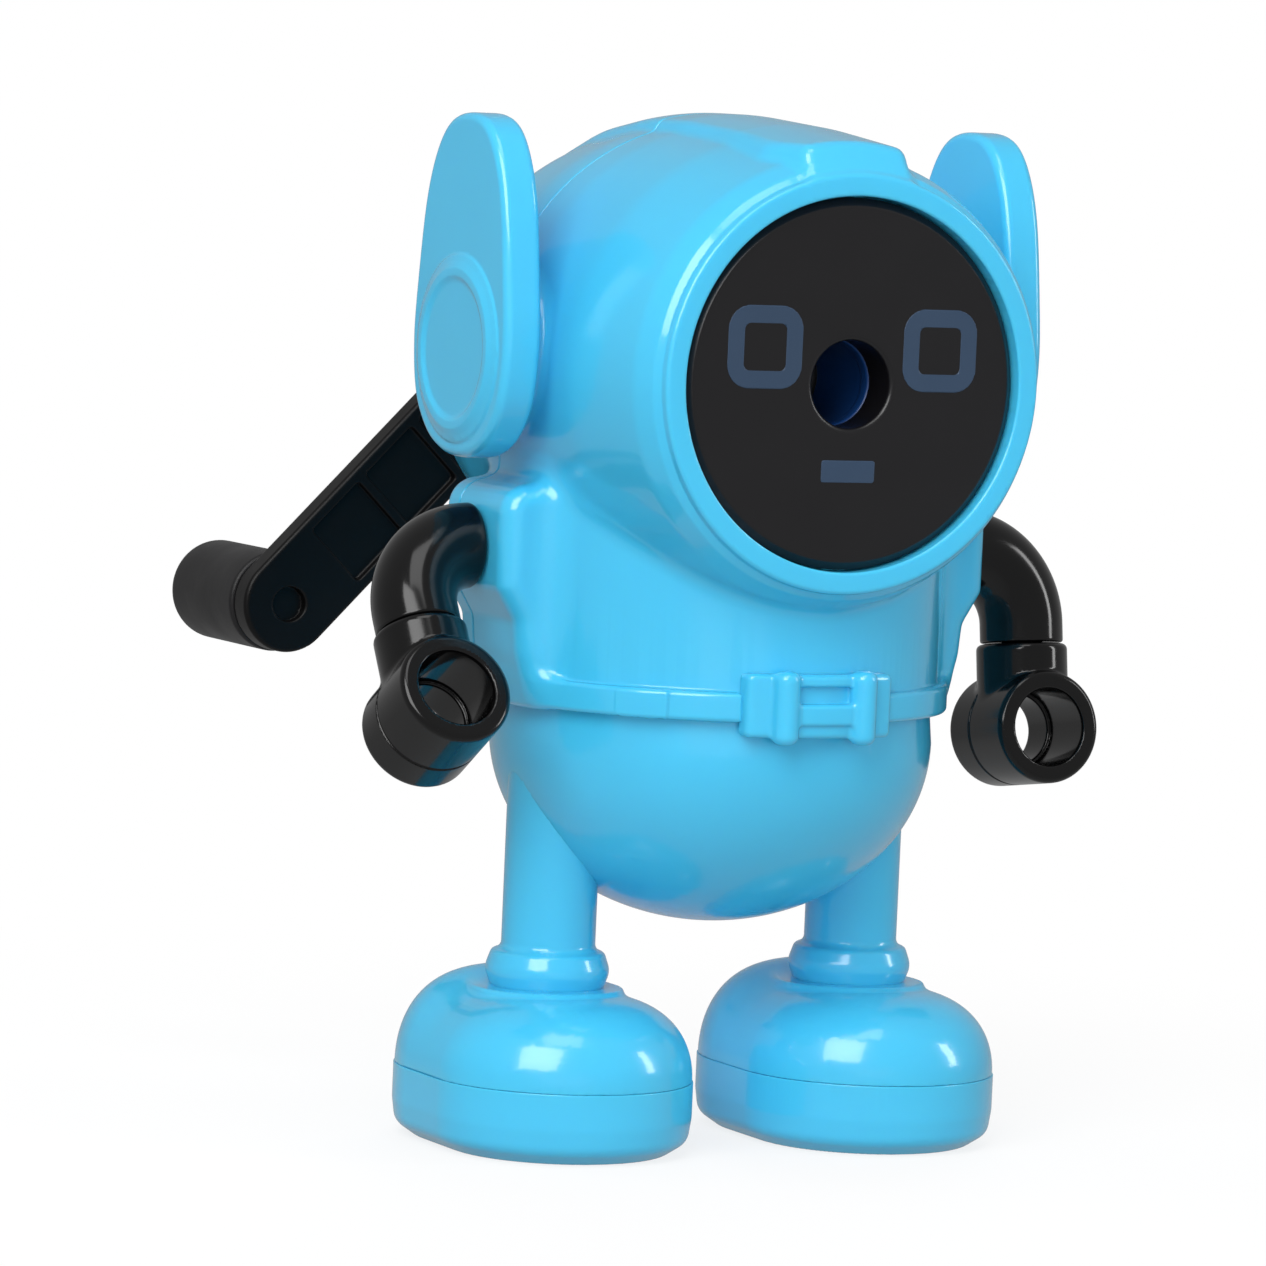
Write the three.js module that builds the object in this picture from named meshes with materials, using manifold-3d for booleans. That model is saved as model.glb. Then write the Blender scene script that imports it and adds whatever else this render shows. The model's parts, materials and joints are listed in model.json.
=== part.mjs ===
// A crank pencil sharpener shaped like a small robot, in millimetres, +Z up.
// The robot faces -Y and +X is its left side. Each piece is drawn with the axis of the head and torso
// near Y 0, and at the end the whole is moved so that the origin is on the floor under its middle.
// Right and left in a node's name are the robot's own right (-X) and left (+X).
import * as THREE from "three";
import { mergeVertices } from "three/addons/utils/BufferGeometryUtils.js";
import Module from "manifold-3d";

const wasm = await Module();
wasm.setup();
const radians = THREE.MathUtils.degToRad;

// ---------------------------------------------------------------- driving dimensions
const WALL = 1.8; // moulded shell thickness
const GAP = 0.3; // clearance between pieces that must not touch
const RUNNING = 0.08; // radial clearance of a turning fit
const ROUND = 28; // facets round a large turned surface
const FINE = 14; // facets round a small turned surface

const HEAD_Z = 85.9; // height of the pencil and crank axis
const HEAD_R = 27.1; // largest radius of the head barrel
const BEZEL_Y = -29.8; // front of the rim round the face
const FACE_Y = -29; // front of the face plate
const FACE_R = 20;
const FACE_THICK = 2.4;
const HOLE_R = 4.7; // pencil hole in the face
const HOLE_BACK = -24; // rear end of the face plate's own collar round the hole
const HUB_END = 44; // rear end of the moulded crank boss
const SEAM_Y = 4.5; // plane where the front and rear shells meet
const CREST_HALF = 7.8; // half width of the raised band over the head
const CREST_TAB = 5.8; // half width of the crest's front end

const BODY_Y = 0.3; // middle of the torso, belly, legs and feet, front to back
const TORSO_R = 25;
const TORSO_TOP = 76;
const BELT_Z = 49; // lower edge of the belt, where the belly bin starts
const BELT_TALL = 3.2;
const BELT_RISE = 1.1;
const BUCKLE_HALF = 8.85;
const BUCKLE_Z = [47.5, 54.4];

const BELLY_R = 24.6;
const BELLY_DEPTH = 20.8;
const BELLY_Z = 45.4; // height of the belly's widest circle
const SPIGOT_TOP = 54; // top of the bin's collar inside the torso

const LEG_X = 18.9;
const LEG_R = 5.2;
const LEG_TOP = 43.5;
const ANKLE_Z = 19.3;
const ANKLE_R = 7.15;
const PLUG_R = 4.4; // lower end of the leg, inside the foot
const FOOT_R = 14.8; // end radius of the foot's outline
const FOOT_STRAIGHT = 4.3; // half of the straight part of the outline
const SOLE_Z = 8; // height of the step between sole and foot cover
const FOOT_TOP = 17.7;
const HEEL_RISE = 1.9; // how far the foot's back is higher than its front

const EAR_X = 30.9; // middle of the ear plate's thickness
const EAR_THICK = 4.4;
const EAR_Z = 87.5; // height of the ear's pivot
const EAR_TOP = 113.1;
const EAR_FOOT = 75.7;
const EAR_BOSS_R = 10.2;
const EAR_BOSS_X = 33.85; // outer face of the round boss on the ear
const EAR_SOCKET_X = 28.4; // outer end of the boss on the head that carries the ear
const EAR_PIN_R = 2;

const SHOULDER_Y = 0.6;
const SHOULDER_Z = 66;
const SHOULDER_X = 30; // outer face of the shoulder pod
const POD_HALF = 8.3; // half of the pod's length, front to back
const ARM_X = 38.6; // plane of the forearm
const ARM_R = 4.7;
const ARM_BEND = 8.3; // radius of the elbow's centre line
const WRIST = 10.5; // shoulder axis to the wrist joint, along the forearm
const HAND = 20.2; // shoulder axis to the middle of the hand ring
const HAND_R = 6.35;
const HAND_BORE = 3.9;
const HAND_HALF = 6.1; // half of the hand ring's length
const RIGHT_SWING = 32; // forward swing of each arm at rest, in degrees
const LEFT_SWING = 8;
const SHOULDER_PIN_R = 2.5;
const WRIST_PEG_R = 2.2;

const MODULE = 0.75; // gear tooth size: pitch diameter over teeth
const RING_TEETH = 30;
const PINION_TEETH = 16;
const MESH_Y = 22; // middle of the pinion
const GEAR_WIDTH = 3.4;
const RING_Y = [20.7, 25.9];
const RING_R = 14; // outside of the ring gear
const CUTTER_R = 5.9;
const CUTTER_Y = [-6, 18];
const CUTTER_TEETH = 12;
const TILT = radians(11); // half angle of the pencil's point, and tilt of the cutter
const AXLE_R = 1.5;
const CARRIER_R = 9.3;
const CHEEK_R = 15;
const CHEEK_Y = [-10.4, -7.2];
const FLANGE_Y = [26.4, 28.6];
const PENCIL_R = 4.2; // pencil bore in the carrier

const SHAFT_R = 3;
const SHAFT_Y = [28.7, 51.5];
const CRANK_Y = 49; // front of the crank arm
const CRANK_THICK = 3.4;
const CRANK_LENGTH = 42.9;
const CRANK_R = 5.6; // half of the arm's width
const CRANK_ANGLE = radians(225.5); // direction of the arm at rest, from +X towards +Z
const HUB_R = 7.2;
const KNOB_R = 5.8;
const KNOB_FRONT = CRANK_Y + CRANK_THICK + 0.4; // just clear of the crank arm
const KNOB_BACK = KNOB_FRONT + 19.5;
const KNOB_PIN_R = 1.6;

const SCREW_R = 1.3;
const SCREW_HEAD_R = 2.5;
// Each housing screw: x, z, and the depth of its head's seat.
const HOUSING_SCREWS = [
  [-17.8, 99.9, 25],
  [17.8, 99.9, 25],
  [-20.6, 57.8, 12.5],
  [20.6, 57.8, 12.5],
];

// ---------------------------------------------------------------- materials
const BLUE = { color: 0x4db8e2, roughness: 0.22, metalness: 0 };
const BLACK = { color: 0x121214, roughness: 0.2, metalness: 0 };
const SATIN_BLACK = { color: 0x1b1c20, roughness: 0.45, metalness: 0 };
const FACE_BLACK = { color: 0x232227, roughness: 0.35, metalness: 0 };
const NAVY = { color: 0x16264a, roughness: 0.4, metalness: 0 };
const STEEL = { color: 0xb9bcc0, roughness: 0.3, metalness: 1 };
const BRASS = { color: 0xc9a24b, roughness: 0.35, metalness: 1 };
const NYLON = { color: 0xe6e4da, roughness: 0.5, metalness: 0 };
const ZINC = { color: 0x9fa3a7, roughness: 0.5, metalness: 0.8 };

// ---------------------------------------------------------------- solids
// A closed geometry as a manifold solid with its faces pointing out.
function solid(geometry) {
  if (!geometry.isBufferGeometry) return geometry;
  const bare = geometry.index ? geometry.toNonIndexed() : geometry;
  const points = new THREE.BufferGeometry();
  points.setAttribute("position", bare.getAttribute("position"));
  const merged = mergeVertices(points, 1e-4);
  const triVerts = new Uint32Array(merged.index.array);
  const vertProperties = merged.attributes.position.array;
  const made = new wasm.Manifold(new wasm.Mesh({ numProp: 3, vertProperties, triVerts }));
  if (made.volume() >= 0) return made;
  triVerts.reverse();
  return new wasm.Manifold(new wasm.Mesh({ numProp: 3, vertProperties, triVerts }));
}

const join = (...pieces) => pieces.map(solid).reduce((all, piece) => all.add(piece));
const cut = (piece, ...tools) => tools.reduce((left, tool) => left.subtract(solid(tool)), solid(piece));
const common = (a, b) => solid(a).intersect(solid(b));

// A profile of [radius, position] points turned about the Y axis, a vertical axis, or an X axis.
function turned(profile, segments = ROUND) {
  return new THREE.LatheGeometry(profile.map(([r, y]) => new THREE.Vector2(r, y)), segments);
}
const post = (profile, segments = FINE) => turned(profile, segments).rotateX(Math.PI / 2);
const spindle = (profile, segments = FINE) => turned(profile, segments).rotateZ(-Math.PI / 2);

const rod = (r, from, to) => [[0, from], [r, from], [r, to], [0, to]];
const tube = (r, bore, from, to) => [[bore, from], [r, from], [r, to], [bore, to], [bore, from]];

function box(from, to) {
  const size = to.map((v, i) => v - from[i]);
  const middle = to.map((v, i) => (v + from[i]) / 2);
  return new THREE.BoxGeometry(...size).translate(...middle);
}

// A shape drawn in XZ and made solid between two Y planes.
function slabY(shape, from, to, steps = 8) {
  const settings = { depth: to - from, bevelEnabled: false, curveSegments: steps };
  return new THREE.ExtrudeGeometry(shape, settings).rotateX(Math.PI / 2).translate(0, to, 0);
}

// A closed body through rings of points, each ring with the same number of points.
function skin(rings) {
  const count = rings[0].length;
  const centre = (ring) => ring.reduce((sum, p) => sum.add(p), new THREE.Vector3()).divideScalar(count);
  const points = [...rings.flat(), centre(rings[0]), centre(rings.at(-1))];
  const index = [];
  for (let i = 0; i < count; i += 1) {
    const next = (i + 1) % count;
    const last = (rings.length - 1) * count;
    index.push(rings.length * count, next, i, rings.length * count + 1, last + i, last + next);
    for (let k = 0; k < last; k += count) {
      index.push(k + i, k + next, k + count + next, k + i, k + count + next, k + count + i);
    }
  }
  return new THREE.BufferGeometry().setFromPoints(points).setIndex(index);
}

const arc = (count, from, to) => Array.from({ length: count + 1 }, (_, i) => from + ((to - from) * i) / count);

// ---------------------------------------------------------------- assembly
const sharpener = new THREE.Group();
const SIDES = [["right", -1], ["left", 1]];

function geometryOf(shape) {
  const mesh = solid(shape).getMesh();
  return new THREE.BufferGeometry()
    .setAttribute("position", new THREE.BufferAttribute(mesh.vertProperties, 3))
    .setIndex(new THREE.BufferAttribute(mesh.triVerts, 1));
}

function add(name, shape, material, parent = sharpener) {
  const node = new THREE.Mesh(geometryOf(shape), new THREE.MeshStandardMaterial(material));
  node.name = name;
  parent.add(node);
}


// ---------------------------------------------------------------- housing: head, torso and shoulders
const headSide = [
  [24.4, -25.6],
  [26.3, -14],
  [HEAD_R, 0],
  [HEAD_R, 8],
  [25.6, 19.5],
  [23, 28.2],
  [18.4, 34.2],
  [12.5, 37.4],
];
const bezel = [
  [0, BEZEL_Y],
  [22.3, BEZEL_Y],
  [22.65, BEZEL_Y + 0.7],
  [23.3, BEZEL_Y + 1.8],
];
const inset = (profile, by) => profile.map(([r, y]) => [r - by, y]);

function headOuter() {
  return turned([...bezel, ...headSide, [9, 38.2], [8.4, HUB_END], [0, HUB_END]]);
}

function headHollow() {
  const front = FACE_Y + FACE_THICK + WALL;
  const side = inset(headSide.slice(2, -2), WALL);
  return turned([[0, front], [22.6, front], ...side, [16.4, 33], [10, 36], [0, 36.3]], 28);
}

// A raised band over the top of the head, whose front end slopes down to the bezel.
function crest() {
  const cover = turned([
    [0, BEZEL_Y + 0.5],
    [22.4, BEZEL_Y + 0.5],
    [25.8, -27.4],
    [27.3, -14],
    [HEAD_R + 1.05, -1],
    [HEAD_R + 1.05, 8],
    [26.5, 19.5],
    [23.5, 28.4],
    [18.4, 34.2],
    [0, 36],
  ]);
  const plan = new THREE.Shape();
  plan.moveTo(-CREST_TAB, BEZEL_Y);
  plan.lineTo(CREST_TAB, BEZEL_Y);
  plan.lineTo(CREST_HALF, -21);
  plan.lineTo(CREST_HALF, 36);
  plan.lineTo(-CREST_HALF, 36);
  plan.lineTo(-CREST_HALF, -21);
  const prism = new THREE.ExtrudeGeometry(plan, { depth: 30, bevelEnabled: false });
  return common(cover, prism.translate(0, 0, 8));
}

// The block on the torso's side that carries an arm, drawn for the left side.
function shoulderPod(side) {
  const outline = new THREE.Shape();
  outline.moveTo(18, BELT_Z + 2);
  outline.lineTo(26.2, BELT_Z + 2);
  outline.quadraticCurveTo(27.8, 54, 27.8, 58.6);
  outline.lineTo(SHOULDER_X, 61.5);
  outline.lineTo(SHOULDER_X, 70);
  outline.quadraticCurveTo(29.4, 73, 25, 73.2);
  outline.lineTo(18, 73.2);
  const block = slabY(outline, SHOULDER_Y - POD_HALF, SHOULDER_Y + POD_HALF, 4);
  return solid(block.scale(side, 1, 1));
}

const torso = (r, from, to) => post(rod(r, from, to), ROUND).translate(0, BODY_Y, 0);

function housing() {
  const head = join(headOuter(), crest()).translate([0, 0, HEAD_Z]);
  const belt = torso(TORSO_R + BELT_RISE, BELT_Z, BELT_Z + BELT_TALL);
  const buckleSeat = box([-BUCKLE_HALF - GAP, -40, 40], [BUCKLE_HALF + GAP, -15, 60]);
  const body = join(head, torso(TORSO_R, BELT_Z, TORSO_TOP), cut(belt, buckleSeat));
  const collar = turned(tube(RING_R + 2, RING_R + 0.1, 19.5, 36)).translate(0, 0, HEAD_Z);
  const bearingBoss = turned(rod(8, 32.5, 40), FINE).translate(0, 0, HEAD_Z);
  const hollow = join(
    solid(headHollow()).translate([0, 0, HEAD_Z]),
    torso(TORSO_R - WALL, BELT_Z - 1, TORSO_TOP + 2),
  );
  const pods = SIDES.map(([, side]) => cut(shoulderPod(side), torso(TORSO_R - WALL, 40, 80)));
  const sockets = SIDES.map(([, side]) =>
    solid(spindle(rod(9, 20, EAR_SOCKET_X), ROUND).translate(0, 0, EAR_Z).scale(side, 1, 1)),
  );
  const bosses = HOUSING_SCREWS.map(([x, z, seat]) =>
    common(turned(rod(3.3, SEAM_Y - 9, seat + 4), 12).translate(x, 0, z), body),
  );
  const shell = join(cut(body, hollow), collar, bearingBoss, ...pods, ...sockets, ...bosses);
  const pinHoles = SIDES.flatMap(([, side]) => [
    spindle(rod(EAR_PIN_R + RUNNING, 15, 33)).translate(0, 0, EAR_Z).scale(side, 1, 1),
    spindle(rod(SHOULDER_PIN_R + RUNNING, 15, 33))
      .translate(0, SHOULDER_Y, SHOULDER_Z).scale(side, 1, 1),
  ]);
  const screwHoles = HOUSING_SCREWS.flatMap(([x, z, seat]) => [
    turned(rod(SCREW_R + 0.1, SEAM_Y - 8.5, seat + 2), 10).translate(x, 0, z),
    turned(rod(SCREW_HEAD_R + GAP, seat, 40), 12).translate(x, 0, z),
  ]);
  return cut(
    shell,
    ...pinHoles,
    ...screwHoles,
    turned(rod(FACE_R + 0.2, -40, FACE_Y + FACE_THICK + 0.1)).translate(0, 0, HEAD_Z),
    turned(rod(17.5, -30, 0)).translate(0, 0, HEAD_Z),
    turned(rod(5.65, 30, 50), FINE).translate(0, 0, HEAD_Z),
  );
}

function addHousing() {
  const shell = housing();
  const reach = 90;
  add("front_shell", common(shell, box([-reach, -reach, 0], [reach, SEAM_Y, 130])), BLUE);
  add("rear_shell", common(shell, box([-reach, SEAM_Y + 0.1, 0], [reach, reach, 130])), BLUE);
  HOUSING_SCREWS.forEach(([x, z, seat], i) => {
    const profile = [
      [0, SEAM_Y - 7],
      [SCREW_R, SEAM_Y - 6],
      [SCREW_R, seat + 0.1],
      [SCREW_HEAD_R, seat + 0.1],
      [SCREW_HEAD_R, seat + 1.2],
      [1.8, seat + 1.9],
      [0, seat + 1.9],
    ];
    add(`housing_screw_${i + 1}`, turned(profile, 10).translate(x, 0, z), STEEL);
  });
}

// ---------------------------------------------------------------- face, pencil guide and buckle
function addFace() {
  const back = FACE_Y + FACE_THICK;
  const plate = turned([
    [HOLE_R + 0.5, FACE_Y],
    [FACE_R - 0.4, FACE_Y],
    [FACE_R, FACE_Y + 0.4],
    [FACE_R, back],
    [17.2, back],
    [17.2, back + WALL],
    [15.4, back + WALL],
    [15.4, back],
    [HOLE_R + 1.5, back],
    [HOLE_R + 1.5, HOLE_BACK],
    [HOLE_R, HOLE_BACK],
    [HOLE_R, FACE_Y + 0.6],
    [HOLE_R + 0.5, FACE_Y],
  ]);
  add("face_plate", plate.translate(0, 0, HEAD_Z), FACE_BLACK);
  const guide = turned([
    [HOLE_R, HOLE_BACK + 0.1],
    [9.5, HOLE_BACK + 0.1],
    [9.5, HOLE_BACK + 1.3],
    [6.4, HOLE_BACK + 1.3],
    [6.4, -12],
    [HOLE_R, -12],
    [HOLE_R, HOLE_BACK + 0.1],
  ], 28);
  add("pencil_guide", guide.translate(0, 0, HEAD_Z), NAVY);
}

function addBuckle() {
  const [low, high] = BUCKLE_Z;
  const inner = TORSO_R + 0.25;
  const plate = common(
    cut(torso(inner + 1.9, low, high), torso(inner, 40, 60)),
    box([-BUCKLE_HALF, -40, low], [BUCKLE_HALF, -10, high]),
  );
  const bars = [-4.7, 4.7].map((x) =>
    post([[0, low - 0.7], [1.1, low - 0.7], [1.4, low], [1.4, high], [1.1, high + 0.4], [0, high + 0.4]], 12)
      .translate(x, BODY_Y - inner - 1.4, 0),
  );
  add("belt_buckle", cut(join(plate, ...bars), torso(inner, 40, 60)), BLUE);
}

// ---------------------------------------------------------------- belly bin, legs and feet
function bellyCurve(by) {
  return arc(7, 0, Math.PI / 2).map((a) => [
    (BELLY_R - by) * Math.sin(a),
    BELLY_Z - (BELLY_DEPTH - by) * Math.cos(a),
  ]);
}

function addBin() {
  const rim = BELT_Z - GAP;
  const rimR = BELLY_R * Math.sqrt(1 - ((rim - BELLY_Z) / BELLY_DEPTH) ** 2);
  const spigotR = TORSO_R - WALL - GAP;
  const outside = [...bellyCurve(0), [rimR, rim]];
  const cup = turned([
    ...outside,
    [spigotR, rim],
    [spigotR, SPIGOT_TOP],
    [spigotR - WALL, SPIGOT_TOP],
    ...bellyCurve(WALL).reverse(),
  ]).rotateX(Math.PI / 2);
  const full = post([...outside, [0, rim]], ROUND);
  const sockets = SIDES.map(([, side]) =>
    common(full, post(rod(LEG_R + WALL, 25, LEG_TOP + WALL)).translate(side * LEG_X, 0, 0)),
  );
  const holes = SIDES.map(([, side]) =>
    post(rod(LEG_R + 0.15, 0, LEG_TOP)).translate(side * LEG_X, 0, 0),
  );
  add("belly_bin", cut(join(cup, ...sockets), ...holes).translate([0, BODY_Y, 0]), BLUE);
}

// The foot's outline at one height: two half circles joined by straight sides. The back is drawn
// higher than the front, by more the higher the outline is.
function footRing(inset, z) {
  const r = FOOT_R - inset;
  const share = Math.max(0, z - SOLE_Z - 1) / (FOOT_TOP - SOLE_Z - 1);
  return [1, -1].flatMap((end) =>
    arc(9, 0, Math.PI).map((a) => {
      const y = end * (FOOT_STRAIGHT + r * Math.sin(a));
      const rise = HEEL_RISE * THREE.MathUtils.smoothstep(y, -1, 9);
      return new THREE.Vector3(end * r * Math.cos(a), y, z + share * rise);
    }),
  );
}
const footBody = (levels) => skin(levels.map(([inset, z]) => footRing(inset, z)));

const coverLevels = [
  [0.2, SOLE_Z + 0.1],
  [0.4, 11.4],
  [1.5, 14.3],
  [3.9, 16.6],
  [7.8, FOOT_TOP],
];
const soleLevels = [[1.9, 0], [0.6, 0.9], [0, 3], [0, SOLE_Z]];

function addLeg(name, x) {
  const leg = post([
    [0, LEG_TOP - GAP],
    [LEG_R - 0.6, LEG_TOP - GAP],
    [LEG_R, LEG_TOP - 0.9],
    [LEG_R, ANKLE_Z + 2.2],
    [ANKLE_R - 0.5, ANKLE_Z + 1.6],
    [ANKLE_R, ANKLE_Z + 0.5],
    [ANKLE_R, ANKLE_Z - 0.5],
    [ANKLE_R - 0.5, ANKLE_Z - 1.6],
    [PLUG_R, FOOT_TOP + 0.1],
    [PLUG_R, SOLE_Z + 0.2],
    [SCREW_R + 0.1, SOLE_Z + 0.2],
    [SCREW_R + 0.1, 17],
    [0, 17],
  ]);
  add(`${name}_leg`, leg.translate(x, BODY_Y, 0), BLUE);

  const hollow = coverLevels.map(([inset, z], i) => [inset + WALL, i ? z - WALL : z - 1]);
  const ankleRoom = post(rod(ANKLE_R + GAP, FOOT_TOP - 0.2, 30));
  const plugHole = post(rod(PLUG_R + 0.1, 5, 20));
  const cover = cut(footBody(coverLevels), footBody(hollow), plugHole, ankleRoom);
  add(`${name}_foot_cover`, cover.translate([x, BODY_Y, 0]), BLUE);

  const recess = post([[0, -1], [3.4, -1], [3.4, 2.6], [SCREW_R + 0.1, 2.6], [SCREW_R + 0.1, 9], [0, 9]]);
  add(`${name}_sole`, cut(footBody(soleLevels), recess).translate([x, BODY_Y, 0]), BLUE);

  const screw = post([[0, 0.9], [2, 0.9], [2.8, 1.5], [2.8, 2.5], [SCREW_R, 2.5], [SCREW_R, 15], [0, 16]], 10);
  add(`${name}_leg_screw`, screw.translate(x, BODY_Y, 0), STEEL);
}

// ---------------------------------------------------------------- ears
function earPlate() {
  const half = [[0, EAR_TOP], [4.6, 112.2], [7.9, 109], [10.2, 103.5], [11.6, 95], [12.1, 88]];
  const low = [[11, 82], [7.8, 78], [3.9, 76.1], [0, EAR_FOOT]];
  const side = [...half, ...low];
  const back = side.slice(1, -1).reverse().map(([y, z]) => [-y, z]);
  const edge = new THREE.SplineCurve([...side, ...back, side[0]].map(([y, z]) => new THREE.Vector2(y, z)));
  const bevel = 1;
  const shape = new THREE.Shape(edge.getPoints(28).slice(0, -1));
  const plate = new THREE.ExtrudeGeometry(shape, {
    depth: EAR_THICK - 2 * bevel,
    bevelThickness: bevel,
    bevelSize: bevel,
    bevelOffset: -bevel,
    bevelSegments: 2,
  });
  // Shape x, y and depth become row Y, Z and X.
  const turn = new THREE.Matrix4().makeBasis(
    new THREE.Vector3(0, 1, 0),
    new THREE.Vector3(0, 0, 1),
    new THREE.Vector3(1, 0, 0),
  );
  return plate.applyMatrix4(turn).translate(EAR_X - EAR_THICK / 2 + bevel, 0, 0);
}

function addEar(name, side) {
  const boss = spindle([
    [0, EAR_X],
    [EAR_BOSS_R, EAR_X],
    [EAR_BOSS_R, EAR_BOSS_X - 0.6],
    [EAR_BOSS_R - 0.9, EAR_BOSS_X],
    [0, EAR_BOSS_X],
  ], 28).translate(0, 0, EAR_Z);
  const hole = spindle(rod(EAR_PIN_R + RUNNING, 20, 32.4)).translate(0, 0, EAR_Z);
  const flip = new THREE.Matrix4().makeScale(side, 1, 1).toArray();
  add(`${name}_ear`, cut(join(earPlate(), boss), hole).transform(flip), BLUE);
  const pin = spindle([[0, 18], [3.4, 18], [3.4, 19.7], [EAR_PIN_R, 19.7], [EAR_PIN_R, 32], [0, 32]]);
  add(`${name}_ear_pin`, pin.translate(0, 0, EAR_Z).scale(side, 1, 1), STEEL);
}

// ---------------------------------------------------------------- arms
// Drawn with the shoulder axis through the origin and the forearm hanging straight down.
function elbow() {
  const ring = (centre, angle) =>
    arc(13, 0, (2 * Math.PI * 13) / 14).map((a) => new THREE.Vector3(
      centre[0] + ARM_R * Math.cos(a) * Math.sin(angle),
      ARM_R * Math.sin(a),
      centre[1] + ARM_R * Math.cos(a) * Math.cos(angle),
    ));
  const bend = arc(5, 0, Math.PI / 2).map((angle) =>
    ring([ARM_X - ARM_BEND + ARM_BEND * Math.sin(angle), ARM_BEND * (Math.cos(angle) - 1)], angle),
  );
  return skin([...bend, ring([ARM_X, -WRIST], Math.PI / 2)]);
}

function addArm(name, side, swing) {
  const group = new THREE.Group();
  group.position.set(0, SHOULDER_Y, SHOULDER_Z);
  group.rotation.x = -radians(swing);
  sharpener.add(group);
  const flip = new THREE.Matrix4().makeScale(side, 1, 1).toArray();

  const peg = post(rod(WRIST_PEG_R, -WRIST - 3.6, -WRIST + 2), FINE).translate(ARM_X, 0, 0);
  const pinHole = spindle(rod(SHOULDER_PIN_R + RUNNING, 25, 34.3));
  add(`${name}_arm`, cut(join(elbow(), peg), pinHole).transform(flip), BLACK, group);

  const ring = turned([
    [HAND_BORE + 0.6, -HAND_HALF],
    [HAND_R - 0.6, -HAND_HALF],
    [HAND_R, -HAND_HALF + 0.6],
    [HAND_R, HAND_HALF - 0.6],
    [HAND_R - 0.6, HAND_HALF],
    [HAND_BORE + 0.6, HAND_HALF],
    [HAND_BORE, HAND_HALF - 0.6],
    [HAND_BORE, -HAND_HALF + 0.6],
    [HAND_BORE + 0.6, -HAND_HALF],
  ], 20).translate(ARM_X, 0, -HAND);
  const cuff = post([
    [0, -HAND + HAND_BORE + 0.4],
    [4.6, -HAND + HAND_BORE + 0.4],
    [5.2, -WRIST - 3],
    [5.2, -WRIST - 0.7],
    [4.8, -WRIST - GAP],
    [0, -WRIST - GAP],
  ]).translate(ARM_X, 0, 0);
  const socket = post(rod(WRIST_PEG_R + RUNNING, -WRIST - 3.9, 0)).translate(ARM_X, 0, 0);
  const bore = turned(rod(HAND_BORE, -8, 8), 20).translate(ARM_X, 0, -HAND);
  add(`${name}_hand`, cut(join(ring, cut(cuff, bore)), socket).transform(flip), BLACK, group);

  const pin = spindle([
    [0, 20.6],
    [4, 20.6],
    [4, 22.4],
    [SHOULDER_PIN_R, 22.4],
    [SHOULDER_PIN_R, 33.9],
    [0, 33.9],
  ]);
  add(`${name}_shoulder_pin`, pin.translate(0, SHOULDER_Y, SHOULDER_Z).scale(side, 1, 1), STEEL);
}

// ---------------------------------------------------------------- cutter and gears
// A toothed outline: each tooth runs from the root circle to the tip circle and back.
function toothed(teeth, root, tip, rootShare, tipShare, path = new THREE.Shape()) {
  const step = (2 * Math.PI) / teeth;
  const points = Array.from({ length: teeth }, (_, i) => [
    [root, i - rootShare / 2],
    [tip, i - tipShare / 2],
    [tip, i + tipShare / 2],
    [root, i + rootShare / 2],
  ]).flat();
  return path.setFromPoints(points.map(([r, turn]) => new THREE.Vector2(
    r * Math.sin(turn * step),
    r * Math.cos(turn * step),
  )));
}

// Places a piece drawn along the pencil axis on the cutter's own tilted axis.
const CUTTER_OFFSET = (MODULE * (RING_TEETH - PINION_TEETH)) / 2;
function onCutterAxis(geometry) {
  return geometry.translate(0, -MESH_Y, 0).rotateX(-TILT).translate(0, MESH_Y, CUTTER_OFFSET);
}

function helicalCutter() {
  const [front, back] = CUTTER_Y;
  const points = CUTTER_TEETH * 2;
  const twist = radians(110);
  const rings = arc(8, 0, 1).map((share) =>
    Array.from({ length: points }, (_, i) => {
      const angle = (2 * Math.PI * i) / points + twist * share;
      const r = i % 2 ? CUTTER_R - 0.8 : CUTTER_R;
      return new THREE.Vector3(r * Math.cos(angle), front + (back - front) * share, r * Math.sin(angle));
    }),
  );
  return cut(skin(rings), turned(rod(AXLE_R + RUNNING, -20, 30), FINE));
}

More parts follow.
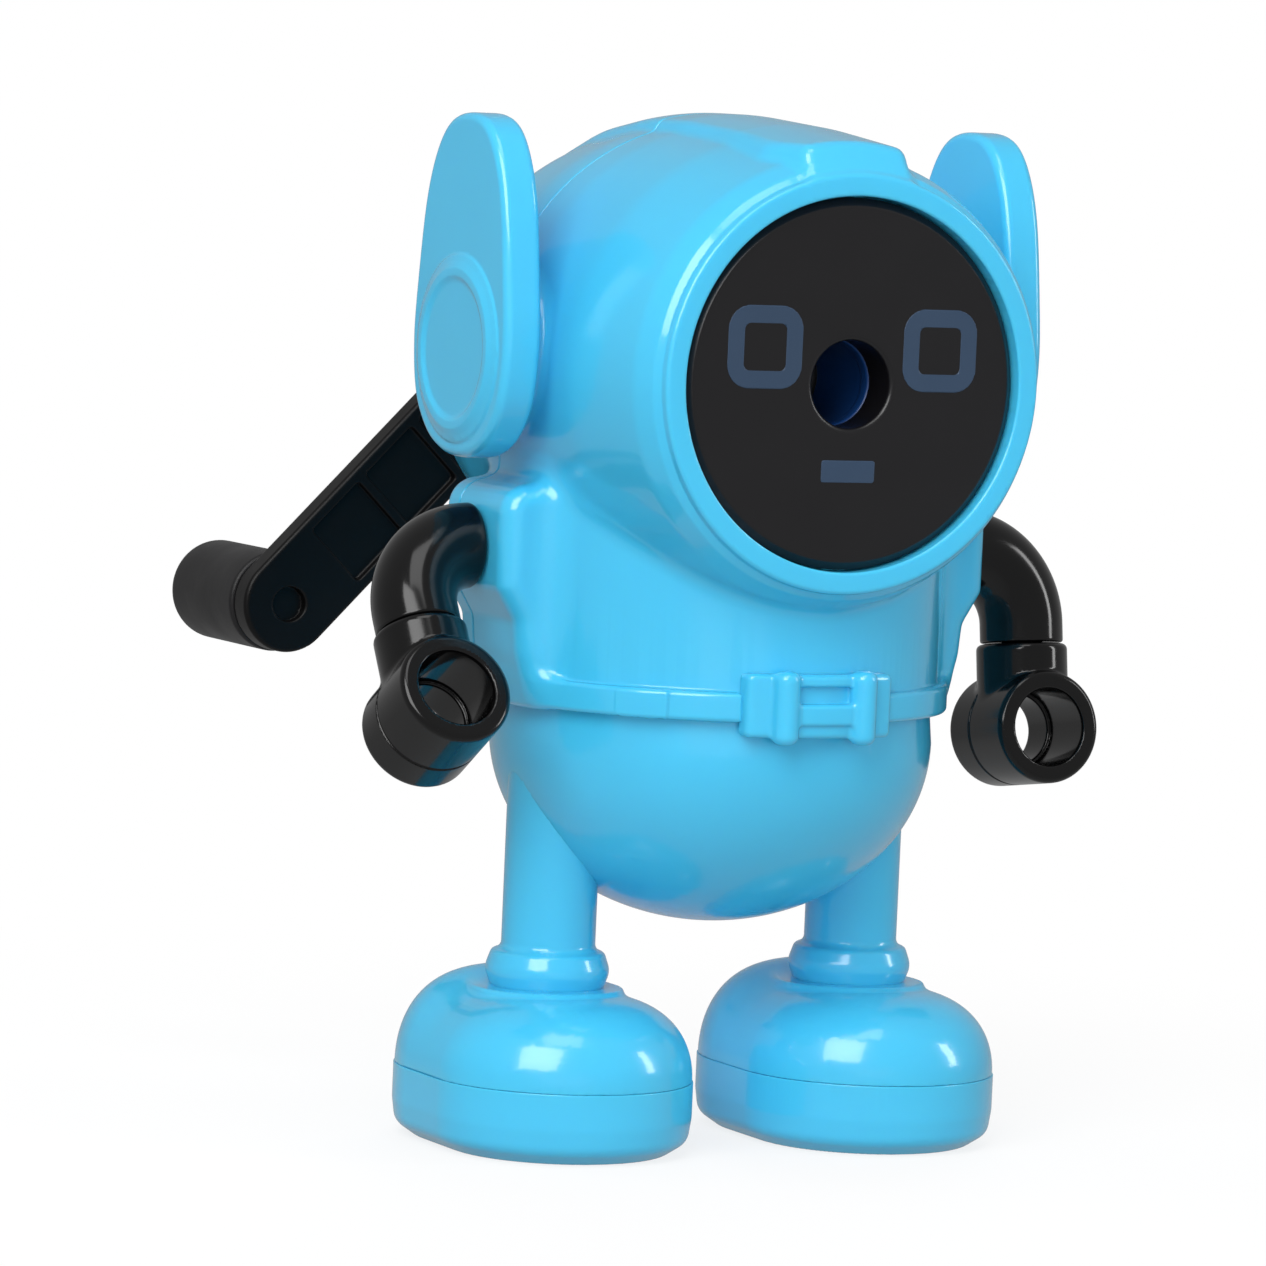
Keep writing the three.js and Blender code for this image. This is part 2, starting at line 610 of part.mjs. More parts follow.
function addMechanism() {
  const pitchRing = (MODULE * RING_TEETH) / 2;
  const pitchPinion = (MODULE * PINION_TEETH) / 2;

  const blank = new THREE.Shape().absarc(0, 0, RING_R, 0, 2 * Math.PI);
  // A gap of the ring faces the pinion's tooth at the top.
  const inside = toothed(RING_TEETH, pitchRing - 0.5, pitchRing + 1.1, 0.7, 0.5, new THREE.Path());
  blank.holes.push(inside);
  const ring = slabY(blank, ...RING_Y, 20);
  add("ring_gear", ring.translate(0, 0, HEAD_Z), NYLON);

  const pinionSpan = [MESH_Y - GEAR_WIDTH / 2, MESH_Y + GEAR_WIDTH / 2];
  const teeth = toothed(PINION_TEETH, pitchPinion - 0.8, pitchPinion + 0.45, 0.56, 0.24);
  const pinion = cut(slabY(teeth, ...pinionSpan), turned(rod(AXLE_R + RUNNING, 10, 30), FINE));
  const place = (shape) => onCutterAxis(geometryOf(shape)).translate(0, 0, HEAD_Z);
  add("cutter_gear", place(pinion), BRASS);
  add("helical_cutter", place(helicalCutter()), STEEL);
  add("cutter_axle", place(turned(rod(AXLE_R, -9.9, 27), FINE)), STEEL);

  const trough = turned(rod(CARRIER_R, CHEEK_Y[1] - 1, FLANGE_Y[0] + 1));
  const cheek = turned(rod(CHEEK_R, ...CHEEK_Y));
  const flange = turned([
    [0, FLANGE_Y[0]],
    [CARRIER_R + 0.5, FLANGE_Y[0]],
    [CARRIER_R + 0.5, FLANGE_Y[1]],
    [6, FLANGE_Y[1]],
    [6, FLANGE_Y[1] + 2.6],
    [0, FLANGE_Y[1] + 2.6],
  ], 28);
  const point = turned([[0, -12], [PENCIL_R, -12], [PENCIL_R, -1], [0.5, 18.4], [0, 18.4]], FINE);
  const cutterRoom = onCutterAxis(turned(rod(CUTTER_R + 0.6, -9, 19.6), 28));
  const gearRoom = onCutterAxis(turned(rod(pitchPinion + 0.9, 19.2, 24.8), 28));
  const topRoom = box([-20, CHEEK_Y[1], 0.8], [20, FLANGE_Y[0], 20]);
  const trimmed = cut(trough, topRoom, cutterRoom, gearRoom);
  const axleHole = onCutterAxis(turned(rod(AXLE_R + 0.06, -14, 27.2), FINE));
  const shaftHole = turned(rod(SHAFT_R + 0.05, SHAFT_Y[0] - 0.1, 40), FINE);
  const carrier = cut(join(trimmed, cheek, flange), point, axleHole, shaftHole);
  add("cutter_carrier", carrier.translate([0, 0, HEAD_Z]), ZINC);
}

// ---------------------------------------------------------------- crank
function addCrank() {
  const along = (distance) => [
    distance * Math.cos(CRANK_ANGLE),
    HEAD_Z + distance * Math.sin(CRANK_ANGLE),
  ];
  const [knobX, knobZ] = along(CRANK_LENGTH);
  const back = CRANK_Y + CRANK_THICK;

  const bar = box([0, CRANK_Y, -CRANK_R], [CRANK_LENGTH, back, CRANK_R]).rotateY(-CRANK_ANGLE);
  const arm = join(
    turned([[0, 45.6], [6.4, 45.6], [6.4, CRANK_Y], [HUB_R, CRANK_Y], [HUB_R, back], [0, back]], 28)
      .translate(0, 0, HEAD_Z),
    bar.translate(0, 0, HEAD_Z),
    turned(rod(CRANK_R, CRANK_Y, back), 28).translate(knobX, 0, knobZ),
  );
  const holes = [
    turned(rod(SHAFT_R + 0.05, 40, SHAFT_Y[1] + 0.1), FINE).translate(0, 0, HEAD_Z),
    turned(rod(SCREW_R + 0.1, 40, 60), FINE).translate(0, 0, HEAD_Z),
    turned(rod(KNOB_PIN_R + 0.05, 40, 60), FINE).translate(knobX, 0, knobZ),
  ];
  add("crank_arm", cut(arm, ...holes), SATIN_BLACK);

  const shaft = cut(
    turned(rod(SHAFT_R, ...SHAFT_Y), FINE),
    turned(rod(SCREW_R + 0.1, 42, 60), FINE),
  );
  add("crank_shaft", shaft.translate([0, 0, HEAD_Z]), STEEL);
  const bearing = turned([
    [SHAFT_R + RUNNING, 32.6],
    [5.6, 32.6],
    [5.6, HUB_END + 0.1],
    [7.4, HUB_END + 0.1],
    [7.4, HUB_END + 1.1],
    [SHAFT_R + RUNNING, HUB_END + 1.1],
    [SHAFT_R + RUNNING, 32.6],
  ], FINE);
  add("rear_bearing", bearing.translate(0, 0, HEAD_Z), NYLON);
  const screw = turned([
    [0, 43],
    [SCREW_R, 44],
    [SCREW_R, back + 0.1],
    [3.4, back + 0.1],
    [3.4, back + 1],
    [2.2, back + 1.8],
    [0, back + 1.8],
  ], 14);
  add("crank_screw", screw.translate(0, 0, HEAD_Z), STEEL);

  const knob = cut(
    turned([
      [0, KNOB_FRONT],
      [KNOB_R - 0.4, KNOB_FRONT],
      [KNOB_R, KNOB_FRONT + 0.5],
      [KNOB_R, KNOB_BACK - 1.8],
      [KNOB_R - 0.6, KNOB_BACK - 0.5],
      [KNOB_R - 1.8, KNOB_BACK],
      [0, KNOB_BACK],
    ], 28),
    turned(rod(KNOB_PIN_R + RUNNING, 50, KNOB_BACK - 2.4), FINE),
  );
  add("crank_knob", knob.translate([knobX, 0, knobZ]), SATIN_BLACK);
  const pin = turned(rod(KNOB_PIN_R, CRANK_Y + 1.2, KNOB_BACK - 2.8), FINE);
  add("knob_pin", pin.translate(knobX, 0, knobZ), STEEL);
}

addHousing();
addFace();
addBuckle();
addBin();
for (const [name, side] of SIDES) {
  addLeg(name, side * LEG_X);
  addEar(name, side);
}
addArm("right", -1, RIGHT_SWING);
addArm("left", 1, LEFT_SWING);
addMechanism();
addCrank();
sharpener.position.y = -(BEZEL_Y + KNOB_BACK) / 2;

export default sharpener;
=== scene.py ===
# A crank pencil sharpener shaped like a small robot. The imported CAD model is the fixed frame. Every moulded
# piece and every screw is modelled here as a signed distance field, in millimetres, and turned into a fine
# mesh that stands for its CAD node. The gears, cutter, shafts and pins are the CAD's own solids with new
# materials. The robot faces -Y, and right and left are the robot's own.
import json
import math

import bpy
import numpy as np
import openvdb
from mathutils import Matrix, Vector


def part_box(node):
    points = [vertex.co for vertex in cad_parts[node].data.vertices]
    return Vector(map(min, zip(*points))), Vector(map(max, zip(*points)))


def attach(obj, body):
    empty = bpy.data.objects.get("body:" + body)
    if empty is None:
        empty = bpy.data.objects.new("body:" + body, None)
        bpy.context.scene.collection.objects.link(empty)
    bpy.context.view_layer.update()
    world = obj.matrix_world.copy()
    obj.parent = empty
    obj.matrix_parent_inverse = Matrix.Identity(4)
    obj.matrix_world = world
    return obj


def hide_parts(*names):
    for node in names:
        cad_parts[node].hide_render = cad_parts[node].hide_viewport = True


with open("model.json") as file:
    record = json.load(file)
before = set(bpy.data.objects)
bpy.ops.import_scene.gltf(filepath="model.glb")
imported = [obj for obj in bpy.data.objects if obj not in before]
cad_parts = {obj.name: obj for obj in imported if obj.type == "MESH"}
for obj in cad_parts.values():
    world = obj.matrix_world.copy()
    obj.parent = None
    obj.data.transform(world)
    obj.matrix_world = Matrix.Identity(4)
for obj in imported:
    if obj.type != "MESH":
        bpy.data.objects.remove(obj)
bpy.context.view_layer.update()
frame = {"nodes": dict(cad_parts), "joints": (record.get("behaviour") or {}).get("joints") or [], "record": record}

MM = 0.001
JOINTS = {joint["name"]: joint for joint in frame["joints"]}
# Pieces are drawn round the axis of the head and ears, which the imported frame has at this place.
HOME = np.array((0, JOINTS["left_ear_tilt"]["pos_m"][1] / MM, 0))


def span(node):
    """A CAD node's lowest and highest corners in millimetres, seen from HOME."""
    low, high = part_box(node)
    return np.array(low) / MM - HOME, np.array(high) / MM - HOME


def joint_point(name):
    return np.array(JOINTS[name]["pos_m"]) / MM - HOME


# ---------------------------------------------------------------- sizes that the frame states
face_low, face_high = span("face_plate")
front_low, front_high = span("front_shell")
rear_low, rear_high = span("rear_shell")
bin_low, bin_high = span("belly_bin")
leg_low, leg_high = span("left_leg")
sole_low, sole_high = span("left_sole")
cover_low, cover_high = span("left_foot_cover")
ear_low, ear_high = span("left_ear")
guide_low, guide_high = span("pencil_guide")
buckle_low, buckle_high = span("belt_buckle")
crank_low, crank_high = span("crank_arm")
knob_low, knob_high = span("crank_knob")
bearing_low, bearing_high = span("rear_bearing")

HEAD_Z = (face_low[2] + face_high[2]) / 2
FACE_R = (face_high[0] - face_low[0]) / 2
FACE_Y = face_low[1]
BEZEL_Y = front_low[1]
SEAM_Y = (front_high[1] + rear_low[1]) / 2
HUB_END = rear_high[1]
BELT_Z = front_low[2]
SHOULDER_X = front_high[0]
BODY_Y = (bin_low[1] + bin_high[1]) / 2
BELLY_R = (bin_high[0] - bin_low[0]) / 2
LEG_X = (leg_low[0] + leg_high[0]) / 2
ANKLE_R = (leg_high[0] - leg_low[0]) / 2
FOOT_R = (sole_high[0] - sole_low[0]) / 2
FOOT_STRAIGHT = (sole_high[1] - sole_low[1]) / 2 - FOOT_R
SOLE_TOP = sole_high[2]
EAR_Z = joint_point("left_ear_tilt")[2]
SHOULDER = joint_point("left_shoulder")
ARM_X = joint_point("left_wrist")[0]
WRIST = np.linalg.norm(joint_point("left_wrist")[1:] - SHOULDER[1:])
CRANK_AT = joint_point("crank_turn")
KNOB_AT = joint_point("knob_turn")
KNOB_R = (knob_high[0] - knob_low[0]) / 2
CRANK_REACH = math.hypot(KNOB_AT[0] - CRANK_AT[0], KNOB_AT[2] - CRANK_AT[2])
CRANK_ANGLE = math.atan2(KNOB_AT[2] - CRANK_AT[2], KNOB_AT[0] - CRANK_AT[0])

# ---------------------------------------------------------------- sizes chosen to fit between those
WALL = 1.8
CREST_RISE = 1.05
CREST_HALF = 5.6
CREST_WIDENING = 2.2  # what is added to that half width further back
CREST_SPREAD = 0.2  # how far each flank moves out for each millimetre down
HEAD_R = rear_high[2] - HEAD_Z - CREST_RISE
HOLE_R = 4.7
FACE_THICK = 2.4
FACE_RIB = 4.2  # how far back from its front the rib behind the face plate reaches
FACE_SEAT_DEPTH = 2.5
GUIDE_R = 6.4
GUIDE_FLANGE_R = 9.5
TORSO_R = BELLY_R + 0.4
BELLY_WIDEST_Z = 45.4
BELLY_DEPTH = BELLY_WIDEST_Z - bin_low[2]
BELT_TALL = 3.2
BELT_RISE = 1.1
LOOP_AT = 44  # the belt loop's place, in degrees round the waist from the front to the right
LOOP_HALF = 5.8  # half its width, in the same degrees
DEGREE_MM = 0.4  # about how far one of those degrees reaches along the belt
BUCKLE_SEAT_Z = 50.1
BUCKLE_SEAT_HALF = 3.2
POD_HALF = 8.3
LEG_R = 5.2
ANKLE_Z = 19.3
FOOT_TOP = leg_low[2] + 9.5
HEEL_RISE = 1.9
EAR_THICK = 4.4
EAR_BORE = 2.1
SHOULDER_BORE = 2.6
ARM_R = 4.7
ELBOW_R = 8.3
HAND_DROP = 20.2  # from the shoulder's axis to the ring's, down the forearm
HAND_R = 6.35
HAND_BORE = 3.9
HAND_HALF = 6.1
HAND_SPLIT = 1.3  # where a fine groove runs round the ring and a step inside it
CRANK_R = 5.6
CRANK_HUB_R = 7.2
CRANK_NECK_R = 6.4
CRANK_FRONT = crank_high[1] - 3.4
SHAFT_BORE = 3.06
BEARING_R = 5.6
BEARING_SEAT_R = 5.7
BEARING_FLANGE_R = 7.4
BEARING_BORE = 3.08
SCREW_HEAD_TALL = 1.7
SCREW_SEAT_DEPTH = 1.9
SCREW_SHANK_R = 1.3
SCREW_BORE = 1.45
THREAD = 0.9
BEYOND = 60  # a place past every surface, where a hole that runs right out ends


# ---------------------------------------------------------------- distance fields
def round_min(a, b, radius):
    """The union of two fields with a fillet of about this radius."""
    mix = np.clip(0.5 + 0.5 * (b - a) / radius, 0, 1)
    return b + (a - b) * mix - radius * mix * (1 - mix)


def round_max(a, b, radius):
    """The common part of two fields with a rounded edge."""
    return -round_min(-a, -b, radius)


def eased(amount, share):
    """From 0 to this amount as share goes from 0 to 1, level at both ends."""
    share = np.clip(share, 0, 1)
    return amount * share * share * (3 - 2 * share)


def slab(shape, along, low, high, radius):
    """A 2-D field made solid between two planes, with its edges rounded."""
    a = shape + radius
    b = np.abs(along - (low + high) / 2) - (high - low) / 2 + radius
    return np.minimum(np.maximum(a, b), 0) + np.hypot(np.maximum(a, 0), np.maximum(b, 0)) - radius


def drilled(body, r, radius, along, low, high):
    """The body less a round hole between two places along the hole's axis."""
    return np.maximum(body, np.minimum(np.minimum(radius - r, along - low), high - along))


def rounded_box(u, v, half_u, half_v, radius):
    a = np.abs(u) - half_u + radius
    b = np.abs(v) - half_v + radius
    return np.minimum(np.maximum(a, b), 0) + np.hypot(np.maximum(a, 0), np.maximum(b, 0)) - radius


def rounded(corners, steps=7):
    """A closed outline through (u, v, radius) corners, each turned by an arc of its radius."""
    points = []
    for i, (u, v, radius) in enumerate(corners):
        here = np.array((u, v), float)
        back = np.array(corners[i - 1][:2]) - here
        on = np.array(corners[(i + 1) % len(corners)][:2]) - here
        back_length, on_length = np.linalg.norm(back), np.linalg.norm(on)
        if not radius:
            points.append(here)
            continue
        back, on = back / back_length, on / on_length
        half = math.acos(np.clip(back @ on, -1, 1)) / 2
        reach = min(radius / math.tan(half), 0.49 * back_length, 0.49 * on_length)
        middle = (back + on) / np.linalg.norm(back + on)
        turn = reach * math.tan(half)
        centre = here + middle * turn / math.sin(half)
        first, last = here + back * reach - centre, here + on * reach - centre
        start = math.atan2(first[1], first[0])
        sweep = (math.atan2(last[1], last[0]) - start + math.pi) % (2 * math.pi) - math.pi
        for step in range(steps + 1):
            angle = start + sweep * step / steps
            points.append(centre + turn * np.array((math.cos(angle), math.sin(angle))))
    return points


class Outline:
    """The signed distance to a closed 2-D outline, kept as a fine table."""

    def __init__(self, points, step=0.1, margin=3.0):
        points = np.asarray(points, float)
        self.low = points.min(0) - margin
        self.step = step
        high = points.max(0) + margin
        u = np.arange(self.low[0], high[0] + step, step)[:, None]
        v = np.arange(self.low[1], high[1] + step, step)[None, :]
        best = np.full((u.size, v.size), np.inf)
        inside = np.zeros(best.shape, bool)
        for (pu, pv), (qu, qv) in zip(points, np.roll(points, -1, axis=0)):
            du, dv = qu - pu, qv - pv
            length = du * du + dv * dv
            if length == 0:
                continue
            t = np.clip(((u - pu) * du + (v - pv) * dv) / length, 0, 1)
            best = np.minimum(best, (u - pu - t * du) ** 2 + (v - pv - t * dv) ** 2)
            if pv != qv:
                crosses = (pv > v) != (qv > v)
                inside ^= crosses & (u < pu + (v - pv) * du / dv)
        self.table = (np.where(inside, -1, 1) * np.sqrt(best)).astype(np.float32)

    def __call__(self, u, v):
        rows, columns = self.table.shape
        i = np.clip((u - self.low[0]) / self.step, 0, rows - 1.001)
        j = np.clip((v - self.low[1]) / self.step, 0, columns - 1.001)
        i0, j0 = i.astype(np.int32), j.astype(np.int32)
        fi, fj = (i - i0).astype(np.float32), (j - j0).astype(np.float32)
        table = self.table
        near = table[i0, j0] * (1 - fi) + table[i0 + 1, j0] * fi
        far = table[i0, j0 + 1] * (1 - fi) + table[i0 + 1, j0 + 1] * fi
        return near * (1 - fj) + far * fj


# ---------------------------------------------------------------- meshes
PLAIN = ((), (), ())  # no places along x, y or z that need closer samples


def places(low, high, step, fine):
    """Sample places from low to high, closer together inside each (from, to, step) of fine."""
    at, found = low - 2 * step, []
    while at < high + 2 * step:
        found.append(at)
        at += min([step] + [s for start, end, s in fine if start - step < at < end])
    return np.array(found)


def gradient(field, points, reach=0.02):
    """The field's unit normal at each point, and about how far off its zero surface the point is."""
    x, y, z = points.T
    slope = np.stack([
        field(x + reach, y, z) - field(x - reach, y, z),
        field(x, y + reach, z) - field(x, y - reach, z),
        field(x, y, z + reach) - field(x, y, z - reach),
    ], axis=1) / (2 * reach)
    size = np.maximum(np.linalg.norm(slope, axis=1), 1e-6)
    return slope / size[:, None], field(x, y, z) / np.maximum(size, 0.3)


def settle(field, points, rounds=3, most=0.25):
    """Moves points onto the field's zero surface and returns them with their normals."""
    for _ in range(rounds):
        normal, gap = gradient(field, points)
        points = points - normal * np.clip(gap, -most, most)[:, None]
    return points, gradient(field, points)[0]


def new_mesh(name, points, faces):
    mesh = bpy.data.meshes.new(name)
    mesh.from_pydata(points, [], faces)
    mesh.update()
    return mesh


def surface(field, low, high, step, fine=PLAIN, keep=0.3):
    """Points, triangles and normals of a field's zero surface, thinned to the share kept."""
    x, y, z = (places(low[k], high[k], step, fine[k]) for k in range(3))
    values = field(
        x[:, None, None].astype(np.float32),
        y[None, :, None].astype(np.float32),
        z[None, None, :].astype(np.float32),
    )
    values = np.ascontiguousarray(np.broadcast_to(values, (x.size, y.size, z.size)), np.float32)
    grid = openvdb.FloatGrid(3 * step)
    grid.copyFromArray(np.clip(values, -3 * step, 3 * step))
    points, triangles, quads = grid.convertToPolygons(0.0, 0.0)
    points = np.stack([
        np.interp(points[:, k], np.arange(axis.size), axis) for k, axis in enumerate((x, y, z))
    ], axis=1)
    points, _ = settle(field, points, rounds=2)
    split = np.concatenate([quads[:, (0, 1, 2)], quads[:, (0, 2, 3)], triangles.reshape(-1, 3)])
    if keep < 1:
        points, split = thinned(points, split, keep)
    points, normals = settle(field, points)
    a, b, c = (points[split[:, k]] for k in range(3))
    facing = np.einsum("ij,ij->i", np.cross(b - a, c - a), normals[split].mean(axis=1))
    if facing.sum() < 0:
        split = split[:, ::-1]
    return points, split, normals


def thinned(points, triangles, keep):
    """The mesh with about this share of its triangles, fewest where it is flattest."""
    holder = bpy.data.objects.new("thinning", new_mesh("thinning", points, triangles))
    bpy.context.scene.collection.objects.link(holder)
    fewer = holder.modifiers.new("fewer", "DECIMATE")
    fewer.ratio = keep
    shown = holder.evaluated_get(bpy.context.evaluated_depsgraph_get())
    made = bpy.data.meshes.new_from_object(shown)
    made.calc_loop_triangles()
    places_of = np.empty(len(made.vertices) * 3)
    made.vertices.foreach_get("co", places_of)
    faces = np.empty(len(made.loop_triangles) * 3, np.int32)
    made.loop_triangles.foreach_get("vertices", faces)
    bpy.data.objects.remove(holder)
    bpy.data.meshes.remove(made)
    return places_of.reshape(-1, 3), faces.reshape(-1, 3)


def mirrored(skin):
    points, triangles, normals = skin
    flip = np.array((-1, 1, 1))
    return points * flip, triangles[:, ::-1], normals * flip


def turned_by(skin, matrix, offset=(0, 0, 0)):
    points, triangles, normals = skin
    matrix = np.array(matrix)
    return points @ matrix.T + np.array(offset), triangles, normals @ matrix.T


def add(name, skin, material, body, node):
    """A finished piece: a mesh in metres that rides a body and stands for its CAD node, if it has one."""
    points, triangles, normals = skin
    mesh = new_mesh(name, (points + HOME) * MM, triangles)
    mesh.polygons.foreach_set("use_smooth", np.ones(len(mesh.polygons), bool))
    mesh.normals_split_custom_set_from_vertices(normals)
    mesh.materials.append(material)
    piece = bpy.data.objects.new(name, mesh)
    bpy.context.scene.collection.objects.link(piece)
    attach(piece, body)
    if node:
        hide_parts(node)


# ---------------------------------------------------------------- housing: head, crest, torso, pods
# A turned shape's half section lists (radius, place along the axis, corner radius) from end to end.
# It starts and ends at CORE, past the axis, so that the axis itself is never an edge.
CORE = -6
HEAD = Outline(rounded([
    (CORE, BEZEL_Y, 0),
    (22.5, BEZEL_Y, 0.45),
    (22.6, BEZEL_Y + 1.0, 0.08),
    (23.35, BEZEL_Y + 1.75, 0.9),
    (24.4, BEZEL_Y + 4.2, 6),
    (26.3, -14, 30),
    (HEAD_R, -1, 40),
    (HEAD_R, 8, 40),
    (25.6, 19.5, 30),
    (23.1, 28.4, 12),
    (18.4, 34.4, 8),
    (12, 37.6, 6),
    (8.9, 38.3, 1),
    (8.4, HUB_END, 0.6),
    (CORE, HUB_END, 0),
]))
HOLLOW_FRONT = FACE_Y + FACE_THICK + WALL
HEAD_HOLLOW = Outline(rounded([
    (CORE, HOLLOW_FRONT, 0),
    (22.4, HOLLOW_FRONT, 1),
    (24.6, -13, 10),
    (HEAD_R - WALL, -1, 30),
    (HEAD_R - WALL, 8, 30),
    (23.8, 19.5, 20),
    (21.3, 28.2, 8),
    (16.4, 33, 6),
    (10, 36, 2),
    (CORE, 36.3, 0),
]))
# The crest is the same half section a little further out, which slopes down to the bezel at the front.
CREST = Outline(rounded([
    (CORE, BEZEL_Y + 0.5, 0),
    (22.4, BEZEL_Y + 0.5, 0.5),
    (25.95, -27.4, 1.7),
    (27.35, -14, 30),
    (HEAD_R + CREST_RISE, -1, 40),
    (HEAD_R + CREST_RISE, 8, 40),
    (26.5, 19.5, 30),
    (23.6, 28.4, 12),
    (18.5, 34.4, 8),
    (CORE, 35, 0),
]))
# The left shoulder pod seen from the front, as (place across, height, corner radius).
POD = Outline(rounded([
    (17, BELT_Z + 1.2, 0),
    (25.3, BELT_Z + 1.2, 1.5),
    (27.4, 54, 6),
    (27.8, 58.2, 2.2),
    (SHOULDER_X, 61.8, 1.8),
    (SHOULDER_X, 73, 3.2),
    (17, 73.6, 0),
]))
HOUSING_SCREWS = [f"housing_screw_{i}" for i in (1, 2, 3, 4)]


def head_with_crest(x, y, z):
    """The head's barrel with the crest, whose flanks spread as they go down."""
    r = np.hypot(x, z - HEAD_Z)
    half = CREST_HALF + eased(CREST_WIDENING, (y - BEZEL_Y) / 9)
    flank = (np.abs(x) - half - CREST_SPREAD * np.maximum(HEAD_Z + 26 - z, 0)) * 0.97
    crest = round_max(CREST(r, y), flank, 1.1)
    crest = np.maximum(crest, HEAD_Z + 12 - z)
    return round_min(HEAD(r, y), crest, 0.9)


def torso_and_pods(x, y, z):
    """The torso with the belt round its lower edge, one belt loop, and the two shoulder pods."""
    r = np.hypot(x, y - BODY_Y)
    torso = slab(r - TORSO_R, z, BELT_Z, 76, 0.3)
    belt_r = TORSO_R + BELT_RISE
    belt = slab(r - belt_r, z, BELT_Z, BELT_Z + BELT_TALL, 0.55)
    around = np.degrees(np.arctan2(-x, BODY_Y - y))
    past_loop = np.maximum(np.abs(around - LOOP_AT) - LOOP_HALF, 0) * DEGREE_MM
    loop = slab(np.maximum(r - belt_r - 0.25, past_loop - 0.2), z, BELT_Z, BELT_Z + BELT_TALL, 0.5)
    pod = slab(POD(np.abs(x), z), y, SHOULDER[1] - POD_HALF, SHOULDER[1] + POD_HALF, 2.2)
    trunk = round_min(torso, belt, 0.35)
    trunk = round_min(trunk, loop, 0.25)
    return round_min(trunk, pod, 3.2)


def with_screw_seat(shell, body, node, x, y, z):
    """The shell with a boss for a housing screw, a recess for its head and a bore for its shank."""
    low, high = span(node)
    screw_r = np.hypot(x - (low[0] + high[0]) / 2, z - (low[2] + high[2]) / 2)
    seat = high[1] - SCREW_SEAT_DEPTH
    boss = np.maximum(slab(screw_r - 3.4, y, low[1] - 2, seat + 5, 0.2), body)
    shell = round_min(shell, boss, 0.5)
    shell = round_max(shell, -slab(screw_r - 2.8, y, seat, BEYOND, 0.1), 0.35)
    return drilled(shell, screw_r, SCREW_BORE, y, low[1], seat)


def housing(x, y, z):
    """Both housing shells before they are split: hollow, with its screw seats, openings and bores."""
    body = round_min(head_with_crest(x, y, z), torso_and_pods(x, y, z), 1.5)
    across = np.abs(x)
    ear_r = np.hypot(y, z - EAR_Z)
    body = round_min(body, slab(ear_r - 8.6, across, 20, 28.4, 0.6), 1.2)
    r = np.hypot(x, z - HEAD_Z)
    waist_r = np.hypot(x, y - BODY_Y)
    hollow = np.minimum(
        HEAD_HOLLOW(r, y),
        slab(waist_r - TORSO_R + WALL, z, BELT_Z - 6, 78, 0.2),
    )
    shell = round_max(body, -hollow, 0.4)
    for node in HOUSING_SCREWS:
        shell = with_screw_seat(shell, body, node, x, y, z)
    face_seat = slab(r - FACE_R - 0.15, y, BEZEL_Y - 9, FACE_Y + FACE_SEAT_DEPTH, 0.1)
    shell = round_max(shell, -face_seat, 0.35)
    way_in = slab(r - 17.6, y, -40, 0, 0.1)
    shell = np.maximum(shell, -way_in)
    bearing_seat = slab(r - BEARING_SEAT_R, y, 30, BEYOND, 0.1)
    shell = round_max(shell, -bearing_seat, 0.3)
    shoulder_r = np.hypot(y - SHOULDER[1], z - SHOULDER[2])
    shell = drilled(shell, shoulder_r, SHOULDER_BORE, across, 15, BEYOND)
    shell = drilled(shell, ear_r, EAR_BORE, across, 15, BEYOND)
    beside_buckle = np.maximum(across - buckle_high[0] - 0.05, y + 15)
    buckle_seat = np.maximum(beside_buckle, TORSO_R + 0.1 - waist_r)
    off_buckle = BEYOND * (np.abs(z - BUCKLE_SEAT_Z) > BUCKLE_SEAT_HALF)
    return np.maximum(shell, -np.maximum(buckle_seat, off_buckle))


def half_of_housing(front):
    """The front or the rear shell, with a fine groove left where the two meet."""
    def field(x, y, z):
        edge = y - SEAM_Y + 0.04 if front else SEAM_Y + 0.04 - y
        return round_max(housing(x, y, z), edge, 0.3)
    low, high = (front_low, front_high) if front else (rear_low, rear_high)
    fine_y = [(SEAM_Y - 0.6, SEAM_Y + 0.6, 0.12), (BEZEL_Y - 0.3, BEZEL_Y + 1.6, 0.16)]
    fine_z = [(BELT_Z - 0.4, BELT_Z + 0.6, 0.2)]
    return surface(field, low, high, 0.42, ((), fine_y, fine_z))


# ---------------------------------------------------------------- face, pencil guide and buckle
# The face plate's half section: the disc, a rib behind it and the collar of the pencil hole.
FACE_BACK = FACE_Y + FACE_THICK
FACE = Outline(rounded([
    (HOLE_R, FACE_Y, 0.55),
    (FACE_R - 0.9, FACE_Y, 0.3),
    (FACE_R - 0.05, FACE_Y + 0.75, 0.25),
    (FACE_R, FACE_BACK, 0.1),
    (17.2, FACE_BACK, 0.1),
    (17.2, FACE_Y + FACE_RIB, 0.3),
    (15.4, FACE_Y + FACE_RIB, 0.3),
    (15.4, FACE_BACK, 0.1),
    (HOLE_R + 1.5, FACE_BACK, 0.3),
    (HOLE_R + 1.5, face_high[1], 0.2),
    (HOLE_R, face_high[1], 0.2),
]), step=0.05)

EYE_X = 10.6
EYE_RISE = 3.8
MOUTH_DROP = 9.35
# Each printed shape is (half width, half height, corner radius).
EYE_OUT = (4.5, 4.45, 2.6)
EYE_IN = (2.5, 2.52, 0.7)
MOUTH = (3.25, 1.2, 0.3)


def face_plate(x, y, z):
    return FACE(np.hypot(x, z - HEAD_Z), y)


def printed(shape, y):
    """A layer of ink that stands just proud of the face plate."""
    return slab(shape, y, FACE_Y - 0.05, FACE_Y + 0.15, 0.03)


